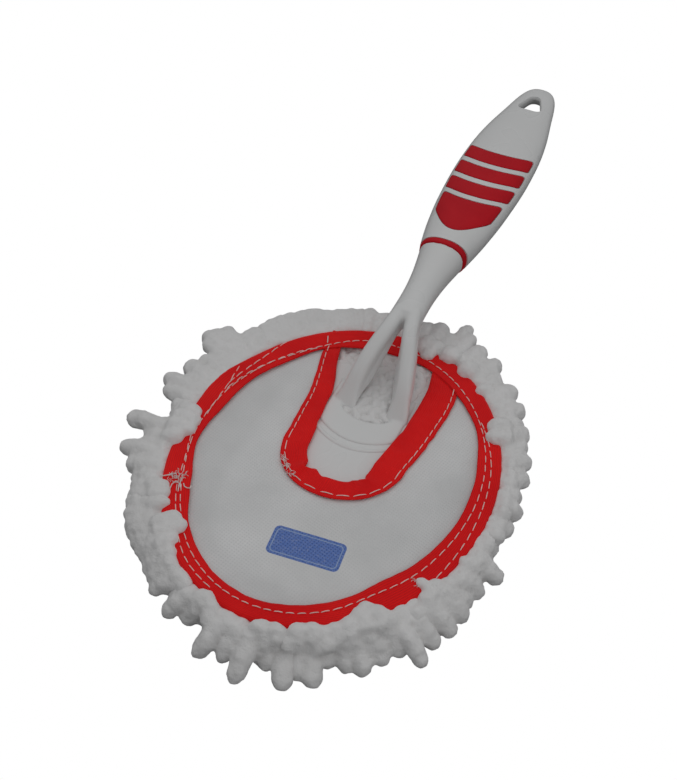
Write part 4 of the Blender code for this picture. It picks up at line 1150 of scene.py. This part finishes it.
band_length = section_length(BAND_SECTION)
outer_mesh = sheet_mesh("outer_tape", columns=560, rows=30, place=band_place,
                        size=(PERIMETER, band_length), joined=True)
outer_tape = place_piece("outer_tape", outer_mesh, "cover", tape, "outer_binding")
thicken(outer_tape, TAPE_THICK)

# %% Pleats and seam of the mouth tape
LOWER_LEAF = PANEL_LOW - 0.55 * MM
PLEATS = ((0.405, 0.008, 1.2), (0.44, 0.010, -0.7), (0.512, 0.008, 0.8), (0.535, 0.008, -0.8),
          (0.556, 0.010, 3.3), (0.24, 0.02, 0.5), (0.80, 0.02, -0.6), (0.70, 0.015, 0.5))
MOUTH_RUN, MOUTH_WIDTH, MOUTH_DIMPLE_PITCH = 236.0 * MM, 27.0 * MM, 5.4 * MM
TOP_SHARE, FOLD_SHARE, LOWER_REACH = 0.50, 0.16, 0.85
SEAM_INSET, SEAM_WIDTH, SEAM_DEPTH = 2.1 * MM, 0.12, 0.20 * MM


def pleat(run):
    return sum(size * MM * math.exp(-((run - at) / wide) ** 2) for at, wide, size in PLEATS)


def seam_reach(u):
    """Where the seam of the mouth tape runs, just inside its outer edge."""
    return 1 - SEAM_INSET / (mouth_point(u, 1.0) - mouth_point(u, 0.0)).length


# %% Mouth tape
def mouth_place(u, v):
    """v runs from the upper leaf's outer edge, over the fold at the mouth, to the lower leaf's edge."""
    fold = pleat(u)
    if v < TOP_SHARE:
        reach = 1 - v / TOP_SHARE
        gather, wander = 0.15 * MM * noise_at(u * 30, 2.0), 0.35 * MM * noise_at(u * 42, 9.0)
        moved = -fold * (1 - reach) ** 2 + gather * (1 - abs(2 * reach - 1)) + wander * reach
        row = math.exp(-((reach - seam_reach(u)) / SEAM_WIDTH) ** 2)
        z = LEAF_TOP + 0.02 * MM + 0.30 * MM * noise_at(u * 46, reach * 2.2, 4.0)
        z += 0.45 * abs(fold) * (1 - reach)
        z -= SEAM_DEPTH * row * (0.75 + 0.25 * math.cos(math.tau * u * MOUTH_RUN / MOUTH_DIMPLE_PITCH))
        z -= 0.15 * MM * max(1 - (1 - reach) * 12, 0) + 0.35 * MM * max(1 - reach * 9, 0) ** 2
    else:
        under = (v - TOP_SHARE) / (1 - TOP_SHARE)
        drop = min(under / FOLD_SHARE, 1)
        reach = max(under - FOLD_SHARE, 0) / (1 - FOLD_SHARE) * LOWER_REACH
        moved = -fold * (1 - reach) ** 2 + 0.3 * MM * math.sin(math.pi * drop)
        z = LEAF_TOP - 0.35 * MM - (LEAF_TOP - 0.35 * MM - LOWER_LEAF) * drop
    inward = (mouth_point(u, 0.0) - mouth_point(u, 1.0)).normalized()
    spot = mouth_point(u, reach) + inward * moved
    if v < TOP_SHARE:
        beyond = math.hypot(spot.x / (HALF_WIDTH - BAND), spot.y / (HALF_LENGTH - BAND))
        z -= 0.75 * MM * clamp((beyond - 0.93) / 0.06)
    return Vector((spot.x, spot.y, z))


mouth_mesh = sheet_mesh("mouth_tape", columns=420, rows=30, place=mouth_place, size=(MOUTH_RUN, MOUTH_WIDTH))
mouth_tape = place_piece("mouth_tape", mouth_mesh, "cover", tape, "mouth_binding")
thicken(mouth_tape, TAPE_THICK)


# %% [markdown]
# ## Stitches and loose threads
# Both tapes are sewn with a pale thread. A line drawn in the material would look printed, so each stitch is a
# short strand with drooping ends. The outer tape has one row all round, and wandering rows at the right and
# at the left, where it was sewn again. Where the seams start, the thread ends were left long.

# %% Sew a row of stitches
STITCH_SHAPE = ((0.0, -0.9, 0.6), (0.12, 0.1, 0.95), (0.5, 1.0, 1.0), (0.88, 0.1, 0.95), (1.0, -0.9, 0.6))
STITCH_RADIUS, STITCH_LIFT = 0.24 * MM, 0.20 * MM


def stitch(bm, start, end):
    """A short strand from start to end, with STITCH_SHAPE's shares, heights and widths."""
    points = [start.lerp(end, share) + Vector((0, 0, STITCH_LIFT * height))
              for share, height, _ in STITCH_SHAPE]
    strand(bm, points, [STITCH_RADIUS * wide for _, _, wide in STITCH_SHAPE], sides=8)


def sew(bm, path, length, pitch, dash, rng, slant):
    """Stitches along path(share), which is length long."""
    total = int(length / pitch)
    for i in range(total):
        middle = (i + 0.5 + rng.uniform(-0.06, 0.06)) / total
        half = dash / length / 2 * rng.uniform(0.88, 1.08)
        start, end = path(middle - half), path(middle + half)
        side = (end - start).cross(Vector((0, 0, 1))).normalized()
        tilt = slant * rng.uniform(0.3, 1.0)
        stitch(bm, start + side * tilt, end - side * tilt)
    return total


# %% Seams of the outer tape and of the mouth
SEAM_Z = TAPE_TOP + 0.02 * MM
TAPE_EDGE = 1.8 * MM
MOUTH_SEAM_START, MOUTH_SEAM_SHARE = 0.063, 0.879


def band_row(row):
    """The path of a row of (degrees, inset) pairs, and its length."""
    first, last = math.radians(row[0][0]), math.radians(row[-1][0])

    def path(share):
        turn = first + (last - first) * share
        inset = smooth_between(row, math.degrees(turn)) * MM
        return edge_point(turn, inset, SEAM_Z - 0.4 * max(TAPE_EDGE - inset, 0))
    return path, PERIMETER * (last - first) / math.tau


def mouth_row(share):
    run = MOUTH_SEAM_START + MOUTH_SEAM_SHARE * share
    spot = mouth_point(run, seam_reach(run))
    spot.z = SEAM_Z
    return spot


rng = random.Random(21)
bm = bmesh.new()
stitch_count = 0
for row in (FIRST_ROW, *OTHER_ROWS):
    stitch_count += sew(bm, *band_row(row), pitch=6.0 * MM, dash=4.5 * MM, rng=rng, slant=0.12 * MM)
stitch_count += sew(bm, mouth_row, MOUTH_RUN * MOUTH_SEAM_SHARE, pitch=5.7 * MM, dash=4.6 * MM, rng=rng,
                    slant=0.16 * MM)
place_piece("seam_stitches", closed_mesh(bm, "seam_stitches"), "cover", thread)
print(stitch_count, "stitches")

# %% Loose thread ends
LOOSE_ENDS = (((-69.0, -44.0), (-67.5, -43.4), (-65.8, -42.2), (-64.3, -40.2), (-62.8, -39.6)),
              ((-60.0, -50.6), (-61.0, -48.4), (-61.4, -45.8), (-60.4, -43.6), (-58.7, -44.0),
              (-57.0, -48.0)), ((-59.4, -40.6), (-58.6, -43.2), (-57.3, -45.6)), ((-57.0, -43.0),
              (-55.6, -44.6), (-54.0, -44.9), (-52.8, -44.4), (-53.2, -42.7)), ((-38.8, 75.2), (-37.7, 72.6),
              (-37.0, 70.8)))
FRAYS = (((-61.0, -40.6), 20, 2.6, 2.6), ((-63.6, -42.6), 12, 1.6, 2.4), ((-22.0, -9.6), 12, 1.2, 2.6),
         ((-19.0, -12.4), 12, 1.3, 2.6), ((-15.6, -15.4), 10, 1.3, 2.4), ((61.4, -46.4), 14, 1.8, 2.2))


def loose_end(bm, points, thick):
    """A thread that lies on the tape, its middle lifted a little and its ends down."""
    last = len(points) - 1
    lifted = [Vector((x * MM, y * MM, SEAM_Z + (0.1 + 0.5 * math.sin(math.pi * i / last)) * MM))
              for i, (x, y) in enumerate(points)]
    strand(bm, lifted, [thick] * len(points), sides=8)


def fray(bm, x, y, reach, rng):
    """One fine short fibre that curls out of a worn edge."""
    heading, turn = rng.uniform(0, math.tau), rng.uniform(-1.1, 1.1) * 0.6
    points = [(x, y)]
    for _ in range(5):
        heading += turn
        x, y = x + math.cos(heading) * reach / 5, y + math.sin(heading) * reach / 5
        points.append((x, y))
    loose_end(bm, points, thick=0.11 * MM)


rng = random.Random(5)
bm = bmesh.new()
for points in LOOSE_ENDS:
    loose_end(bm, points, thick=0.26 * MM)
for (x, y), count, spread, reach in FRAYS:
    for _ in range(count):
        fray(bm, x + rng.uniform(-spread, spread), y + rng.uniform(-spread, spread), reach, rng)
place_piece("loose_threads", closed_mesh(bm, "loose_threads"), "cover", lint)


# %% [markdown]
# ## Chenille
# Chenille is a yarn with a short dense nap, sewn down in loops, so the mat looks like rows of plump fingers
# that press into each other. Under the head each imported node's own mesh is copied, swollen along its normals
# until neighbours touch, melted together, and given lumps by noise, so every finger stays where the packed
# model has it. Round the edge the fingers follow the photograph instead: strands are laid one by one, and
# melted in the same way. The nap itself is in the material.

# %% Soften the pile
def lumps(point, seed):
    """The unevenness of the yarn, in metres."""
    coarse = noise.noise(point / (4.8 * MM) + Vector((seed, 0, 0)))
    middle = noise.noise(point / (2.3 * MM) + Vector((0, seed, 0)))
    fine = noise.noise(point / (1.0 * MM) + Vector((0, 0, seed)))
    return (0.65 * coarse + 0.30 * middle + 0.06 * fine) * MM


SWELL, LOWEST = 0.55 * MM, 0.02 * MM


def swollen(name, node):
    """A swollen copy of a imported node, ready to be melted."""
    bm = bmesh.new()
    bm.from_mesh(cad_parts[node].data)
    bmesh.ops.remove_doubles(bm, verts=bm.verts, dist=0.02 * MM)
    bm.normal_update()
    for vert in bm.verts:
        vert.co += vert.normal * SWELL
    return closed_mesh(bm, name)


def soften(obj, voxel, passes, seed):
    melt(obj, voxel, passes)
    push_out(obj.data, lambda point: 0.15 * MM + lumps(point, seed))
    for vert in obj.data.vertices:
        vert.co.z = max(vert.co.z, LOWEST)
    obj.data.update()


# %% Mat under the head
MAT_TOP = 11.1 * MM
for i in range(1, 6):
    name, node = f"chenille_mat_{i}", f"chenille_pile_{i}"
    mat = place_piece(name, swollen(name, node), "cover", chenille, node)
    soften(mat, voxel=1.25 * MM, passes=8, seed=i * 3.7)
    for vert in mat.data.vertices:
        vert.co.z = min(vert.co.z, MAT_TOP)


# %% [markdown]
# ### Fingers round the edge
# Each row of FINGERS was read from the photograph: the direction in which its tip shows, how far it reaches
# past the bound edge, the direction of its root, and its radius, in degrees and millimetres. VALLEYS is how
# far the pile reaches between them, and TIP_HEIGHTS how high the tips stand. A random scatter would be
# shorter, but the outline of the fringe would then not be the photograph's. Only the short fingers and lumps
# between these are seeded.

# %% Where the fingers show in the photograph
AWAY = Vector((-math.sin(SWING), math.cos(SWING), 0))
VALLEYS = ((0, 10.0), (12, 9.0), (25, 11.2), (37, 11.0), (53, 13.0), (63, 16.0), (79, 17.0), (103, 14.0),
           (120, 15.2), (147, 16.8), (163, 17.4), (174, 17.0), (184.5, 7.0), (194, 14.6), (210, 12.8),
           (222, 15.0), (236, 13.8), (249, 14.0), (262, 13.4), (270, 19.5), (280, 18.5), (286, 13.5),
           (294, 13.5), (298, 15.5), (306, 19.5), (313, 19.5), (324, 19.0), (335, 17.0), (343, 13.8),
           (354, 8.8), (360, 10.0))
TIP_HEIGHTS = ((0, 9.0), (45, 11.0), (75, 13.0), (105, 13.6), (150, 13.0), (175, 11.0), (200, 9.4),
               (225, 8.8), (250, 6.2), (270, 5.4), (320, 5.6), (345, 7.4), (360, 9.0))
FINGERS = ((4.5, 13.8, 7.5, 4.2), (9.5, 11.2, 10, 4.0), (15.5, 13.2, 15, 4.0), (22, 14.0, 21.5, 4.6),
           (27, 12.4, 27, 4.0), (31.5, 14.6, 32.5, 4.8), (35.5, 12.4, 36, 4.0), (41, 16.4, 41, 4.6),
           (48.5, 17.6, 47.5, 4.9), (54, 13.8, 53.5, 4.4), (59.8, 20.0, 60, 4.4), (67, 20.0, 66, 4.6),
           (72.5, 22.5, 72.5, 4.2), (75.8, 27.0, 74.5, 3.2), (82, 20.0, 81, 4.4), (86, 16.5, 86, 4.2),
           (92, 14.5, 92, 4.4), (97, 14.5, 97, 4.4), (101.5, 15.3, 101, 4.4), (106.5, 17.3, 107, 4.6),
           (109.5, 16.2, 110, 4.6), (112.5, 16.6, 113, 4.8), (115.5, 16.0, 115.5, 4.6),
           (118.5, 15.6, 118.5, 4.6), (123.5, 18.4, 124, 4.8), (126, 19.0, 126.5, 4.6),
           (129, 19.4, 129.5, 4.8), (132.5, 19.0, 132.5, 4.6), (136, 19.4, 136, 4.8), (139, 19.2, 139, 4.6),
           (142, 17.8, 142.5, 4.8), (145, 17.4, 145, 4.6), (147.5, 17.6, 148, 4.4), (151.3, 26.4, 152, 4.2),
           (153.7, 28.6, 153.7, 4.0), (156, 30.2, 155.5, 4.0), (158, 25.5, 157.5, 4.0), (163, 17.8, 163, 4.2),
           (167.5, 21.0, 167.5, 4.8), (173.8, 24.0, 173, 4.2), (177.3, 19.5, 177, 4.2),
           (189.6, 26.8, 189, 4.3), (199, 23.2, 199, 4.2), (204, 18.0, 203.5, 4.6), (208.5, 13.6, 208.5, 4.4),
           (212, 13.6, 212, 4.6), (215, 14.8, 215, 4.6), (218, 15.4, 218, 4.6), (221, 16.4, 221, 4.6),
           (224, 16.8, 224, 4.6), (227, 16.4, 227, 4.6), (230, 16.0, 230, 4.6), (233, 15.0, 233, 4.6),
           (236, 14.2, 236, 4.4), (239.5, 15.2, 239.5, 4.4), (242.5, 15.8, 242.5, 4.2),
           (245.6, 17.2, 246, 2.8), (253, 19.8, 253, 3.6), (258, 16.6, 258.5, 4.2), (266, 26.2, 266.5, 4.0),
           (271.5, 23.5, 271.5, 3.8), (276, 30.6, 276, 4.1), (302.5, 20.0, 302, 4.2), (308, 21.0, 307.5, 4.2),
           (313, 21.4, 313.5, 3.6), (316.4, 29.2, 317, 3.4), (321, 24.6, 321.5, 3.8), (326, 23.8, 326.5, 3.5),
           (330.8, 22.0, 331.5, 4.2), (338.3, 18.0, 340.5, 4.0), (344.3, 20.2, 347, 3.7),
           (351, 10.6, 351, 4.2), (358.5, 12.6, 358, 4.4))
LOW_FINGERS = ((281.5, 22.0, 281.5, 4.0), (285.8, 29.8, 285.5, 4.4), (289.4, 25.0, 289.2, 4.2),
               (292.4, 28.2, 292, 4.3), (296, 19.5, 296, 4.0), (300.5, 22.5, 300, 4.2),
               (304, 25.2, 303.5, 4.6), (308.5, 23.0, 308, 4.4))
print(len(FINGERS) + len(LOW_FINGERS), "named fingers")


# %% Fingers round the edge
ROOT_OUT, ROOT_RADIUS = 1.6 * MM, 4.4 * MM
FATTER = 1.12


def seen_tip(degrees, reach, height, radius):
    """Middle of a round tip at a height, whose edge shows at this reach on the level of the tape."""
    turn = math.radians(degrees)
    shown = radius * math.hypot(1, outwards(turn).dot(AWAY) / math.tan(ELEVATION))
    level = edge_point(turn, shown - reach, TAPE_TOP)
    return EYE + (level - EYE) * ((height - EYE.z) / (level.z - EYE.z))


def edge_finger(root_degrees, root_height, tip, radius):
    """A finger that starts under the tape, goes outwards, and falls to its tip."""
    root = edge_point(math.radians(root_degrees), -ROOT_OUT, root_height)
    points = []
    for share in (0.0, 0.34, 0.7, 1.0):
        z = root.z + (tip.z - root.z) * share**2 + 0.7 * MM * math.sin(math.pi * share)
        points.append(Vector((*root.lerp(tip, share).xy, z)))
    return points, [ROOT_RADIUS, 2.9 * MM + 0.34 * radius, 1.3 * MM + 0.72 * radius, 0.96 * radius]


def named_finger(row, root_height):
    degrees, reach, root, radius = row
    radius *= FATTER * MM
    height = smooth_between(TIP_HEIGHTS, degrees)
    tip = seen_tip(degrees, (reach + 3.1 - 0.17 * height) * MM, height * MM, radius)
    return edge_finger(root, root_height, tip, radius)


def fill_finger(degrees, share, drop, root_height, rng):
    """A finger between the others, no longer than the valleys between them."""
    turn = math.radians(degrees)
    radius = rng.uniform(4.0, 4.8) * MM
    height = max(smooth_between(TIP_HEIGHTS, degrees % 360) - drop, 4.4) * MM
    tip = seen_tip(degrees, (smooth_between(VALLEYS, degrees % 360) + 2.4) * share * MM, height, radius)
    past = (tip - edge_point(turn, 0.0, height)).dot(outwards(turn))
    tip += outwards(turn) * (clamp(past, -4.0 * MM, 16.0 * MM) - past)
    return edge_finger(degrees + rng.uniform(-2.0, 2.0), root_height, tip, radius)


def backing(sector):
    """The roll of the mat's edge, behind the fingers of one sector."""
    turns = [math.tau * (sector + k / 10) / 10 for k in range(11)]
    return [edge_point(turn, -1.8 * MM, 10.4 * MM) for turn in turns], [ROOT_RADIUS] * len(turns)


# %% Lumps that roll over the tape
# Each lump is a direction in degrees, how far it leans in over the edge, and its radius, in millimetres.
OVER_TAPE = ((31.2, 6.8, 3.8), (35.5, 5.6, 4.6), (52.5, 2.9, 3.6), (63, 4.4, 5.0), (72, 4.9, 5.2),
             (79.2, 9.8, 3.6), (82.5, 7.4, 4.0), (181.5, 5.8, 4.0), (184.8, 8.4, 4.4), (188.6, 8.3, 4.4),
             (192.4, 4.8, 4.4), (211.2, 4.0, 3.4), (214.4, 4.4, 3.8), (217.6, 4.2, 3.6), (225, 9.2, 3.6),
             (228.2, 10.4, 3.4), (232.4, 5.0, 3.8), (236.4, 2.6, 3.8), (240, 1.0, 3.8), (245, 1.3, 3.8),
             (248.5, 1.0, 3.4), (255.2, 2.2, 3.8), (257.4, 3.5, 3.8), (260, 1.6, 3.8), (277.2, 3.2, 4.6),
             (281.8, 3.4, 4.6), (288.4, 4.4, 4.6), (292.6, 4.4, 4.4), (295.8, 2.4, 3.8), (299.6, 4.0, 3.8),
             (303.2, 5.0, 4.2), (307.4, 8.2, 3.8), (309.8, 9.4, 3.4), (312.6, 6.4, 4.2), (315, 2.8, 4.0),
             (319.2, 1.5, 4.4), (323.4, 1.5, 4.4), (327, 1.7, 3.8), (329.4, 7.2, 2.2), (332.2, 3.4, 3.4),
             (335, 0.8, 3.6), (344, 2.0, 3.2))


def roll_over(degrees, over, height, radius):
    """A short fat finger that stands up outside the tape and leans in over its edge."""
    turn = math.radians(degrees)
    shown = radius * math.hypot(1, max(-outwards(turn).dot(AWAY), 0) / math.tan(ELEVATION))
    foot = edge_point(turn, -4.4 * MM, 12.5 * MM)
    crest = edge_point(turn, -3.2 * MM, height)
    tip = edge_point(turn, over - shown, height + 0.3 * MM)
    return [foot, foot.lerp(crest, 0.6), crest, crest.lerp(tip, 0.55) + Vector((0, 0, 0.4 * MM)), tip], [
        radius * share for share in (1.0, 1.0, 1.0, 1.05, 0.96)]


# %% Fringe, one tenth at a time
SECTORS = 10


def edge_strands(sector):
    """Every strand of one sector of the fringe."""
    rng = random.Random(100 + sector)
    span = 360 // SECTORS
    low, high = sector * span, (sector + 1) * span
    strands = [backing(sector)]
    for rows, root_height in ((FINGERS, 14.4 * MM), (LOW_FINGERS, 8.4 * MM)):
        strands += [named_finger(row, root_height) for row in rows if low <= row[0] < high]
    strands += [roll_over(degrees, (over + 1.1) * MM, (15.9 + 0.5 * min(over, 6)) * MM, 1.06 * radius * MM)
                for degrees, over, radius in OVER_TAPE if low <= degrees < high]
    for k in range(8):
        degrees = low + span * (k + rng.uniform(-0.25, 0.25)) / 8
        strands.append(fill_finger(degrees, rng.uniform(0.92, 1.04), drop=-0.6,
                                   root_height=14.2 * MM, rng=rng))
        strands.append(fill_finger(degrees + rng.uniform(-1.5, 1.5), rng.uniform(0.90, 1.04), drop=4.6,
                                   root_height=9.0 * MM, rng=rng))
        over, height = rng.uniform(-2.4, -0.7) * MM, rng.uniform(13.8, 15.6) * MM
        strands.append(roll_over(degrees + rng.uniform(-2, 2), over, height, rng.uniform(3.6, 4.4) * MM))
    return strands


for sector in range(SECTORS):
    bm = bmesh.new()
    for points, radii in edge_strands(sector):
        strand(bm, points, radii)
    name = f"chenille_edge_{sector + 1}"
    fringe = place_piece(name, closed_mesh(bm, name), "cover", chenille, f"chenille_fringe_{sector + 1}")
    soften(fringe, voxel=0.95 * MM, passes=5, seed=50 + sector * 2.3)


# %% [markdown]
# ### Strands in the notch
# Through the gap between the plate's arms shows more chenille, lying in soft strands that cross each other
# with dark creases between. They are laid one by one, from a seeded random choice, with straight ones side by
# side below them that close the floor, and melted just enough to press together.

# %% One strand in the notch
STRAND_Z = BASE_HIGH + 0.5 * MM
STRAND_CAP = PLATE_TOP + 0.3 * MM
BACK_FROM, BACK_HALF, BACK_RISE = 54 * MM, 19.5 * MM, 1.8 * MM


def swell(x, y):
    """How much higher the strands stand at the open back of the mouth, between the tape's arms."""
    back = clamp((y - BACK_FROM) / (12 * MM))
    return BACK_RISE * back * clamp((BACK_HALF - abs(x)) / (3.5 * MM))


def notch_strand(bm, x, y, width, rng):
    """A soft strand that lies any way round on the pocket's floor, between -width and width."""
    heading = rng.choice((-1, 1)) * rng.uniform(0.1, 1.2)
    away = Vector((math.sin(heading), math.cos(heading), 0)) * rng.uniform(2.0, 3.8) * MM
    middle = Vector((x, y, STRAND_Z + swell(x, y) + rng.uniform(-0.3, 0.4) * MM))
    middle += Vector((rng.uniform(-0.8, 0.8), rng.uniform(-0.8, 0.8), 0)) * MM
    radius = rng.uniform(2.35, 2.85) * MM
    bow = away.cross(Vector((0, 0, 1))) * rng.uniform(-0.3, 0.3)
    points = [Vector((clamp(p.x, -width, width), p.y, p.z))
              for p in (middle - away, middle + bow, middle + away)]
    strand(bm, points, [radius * 0.92, radius, radius * 0.92], sides=12)


def notch_width(y):
    """How far the strands lie to either side, and how many lie side by side."""
    if y < 38 * MM:
        return 9.5 * MM, 4
    return (14.4 * MM, 6) if y < 66 * MM else (32.0 * MM, 12)


# %% Strands on the floor of the pocket
RIGHT_STRANDS = ((16.6, 56.0), (17.4, 61.5), (17.2, 66.5), (16.0, 71.5), (14.4, 76.0))
BACK_STRAND = ((-22, 76.5, 15.4), (-8, 78.2, 15.8), (4, 78.0, 15.8), (15, 75.5, 15.4))
rng = random.Random(4)
bm = bmesh.new()
for row in range(10):
    y = (34.5 + row * 5.3) * MM
    width, columns = notch_width(y)
    for column in range(columns):
        x = width * (2 * (column + 0.5 * (row % 2)) / (columns - 0.5) - 1)
        notch_strand(bm, x, y, width + 0.6 * MM, rng)
for x, y in RIGHT_STRANDS:
    places = ((x - 1.6, y - 2.8, 14.4), (x, y, 15.0), (x + 1.0, y + 2.8, 14.6))
    strand(bm, [Vector(place) * MM for place in places], [2.3 * MM, 2.5 * MM, 2.3 * MM], sides=12)
strand(bm, [Vector(place) * MM for place in BACK_STRAND], [2.2 * MM] * len(BACK_STRAND), sides=12)
for row in range(19):
    y = (34.0 + row * 2.6) * MM
    straight = [Vector((side * notch_width(y)[0], y, 12.7 * MM)) for side in (-1, 1)]
    strand(bm, straight, [1.9 * MM] * 2, sides=12)
notch = place_piece("notch_strands", closed_mesh(bm, "notch_strands"), "cover", chenille, "pocket_lining")
melt(notch, voxel=0.5 * MM, passes=1)
push_out(notch.data, lambda point: lumps(point, 9.1) * 0.3)
for vert in notch.data.vertices:
    cap = STRAND_CAP + swell(vert.co.x, vert.co.y)
    if vert.co.z > cap:
        vert.co.z = cap + 0.5 * (vert.co.z - cap)
    vert.co.z = max(vert.co.z, BASE_HIGH - 0.6 * MM)
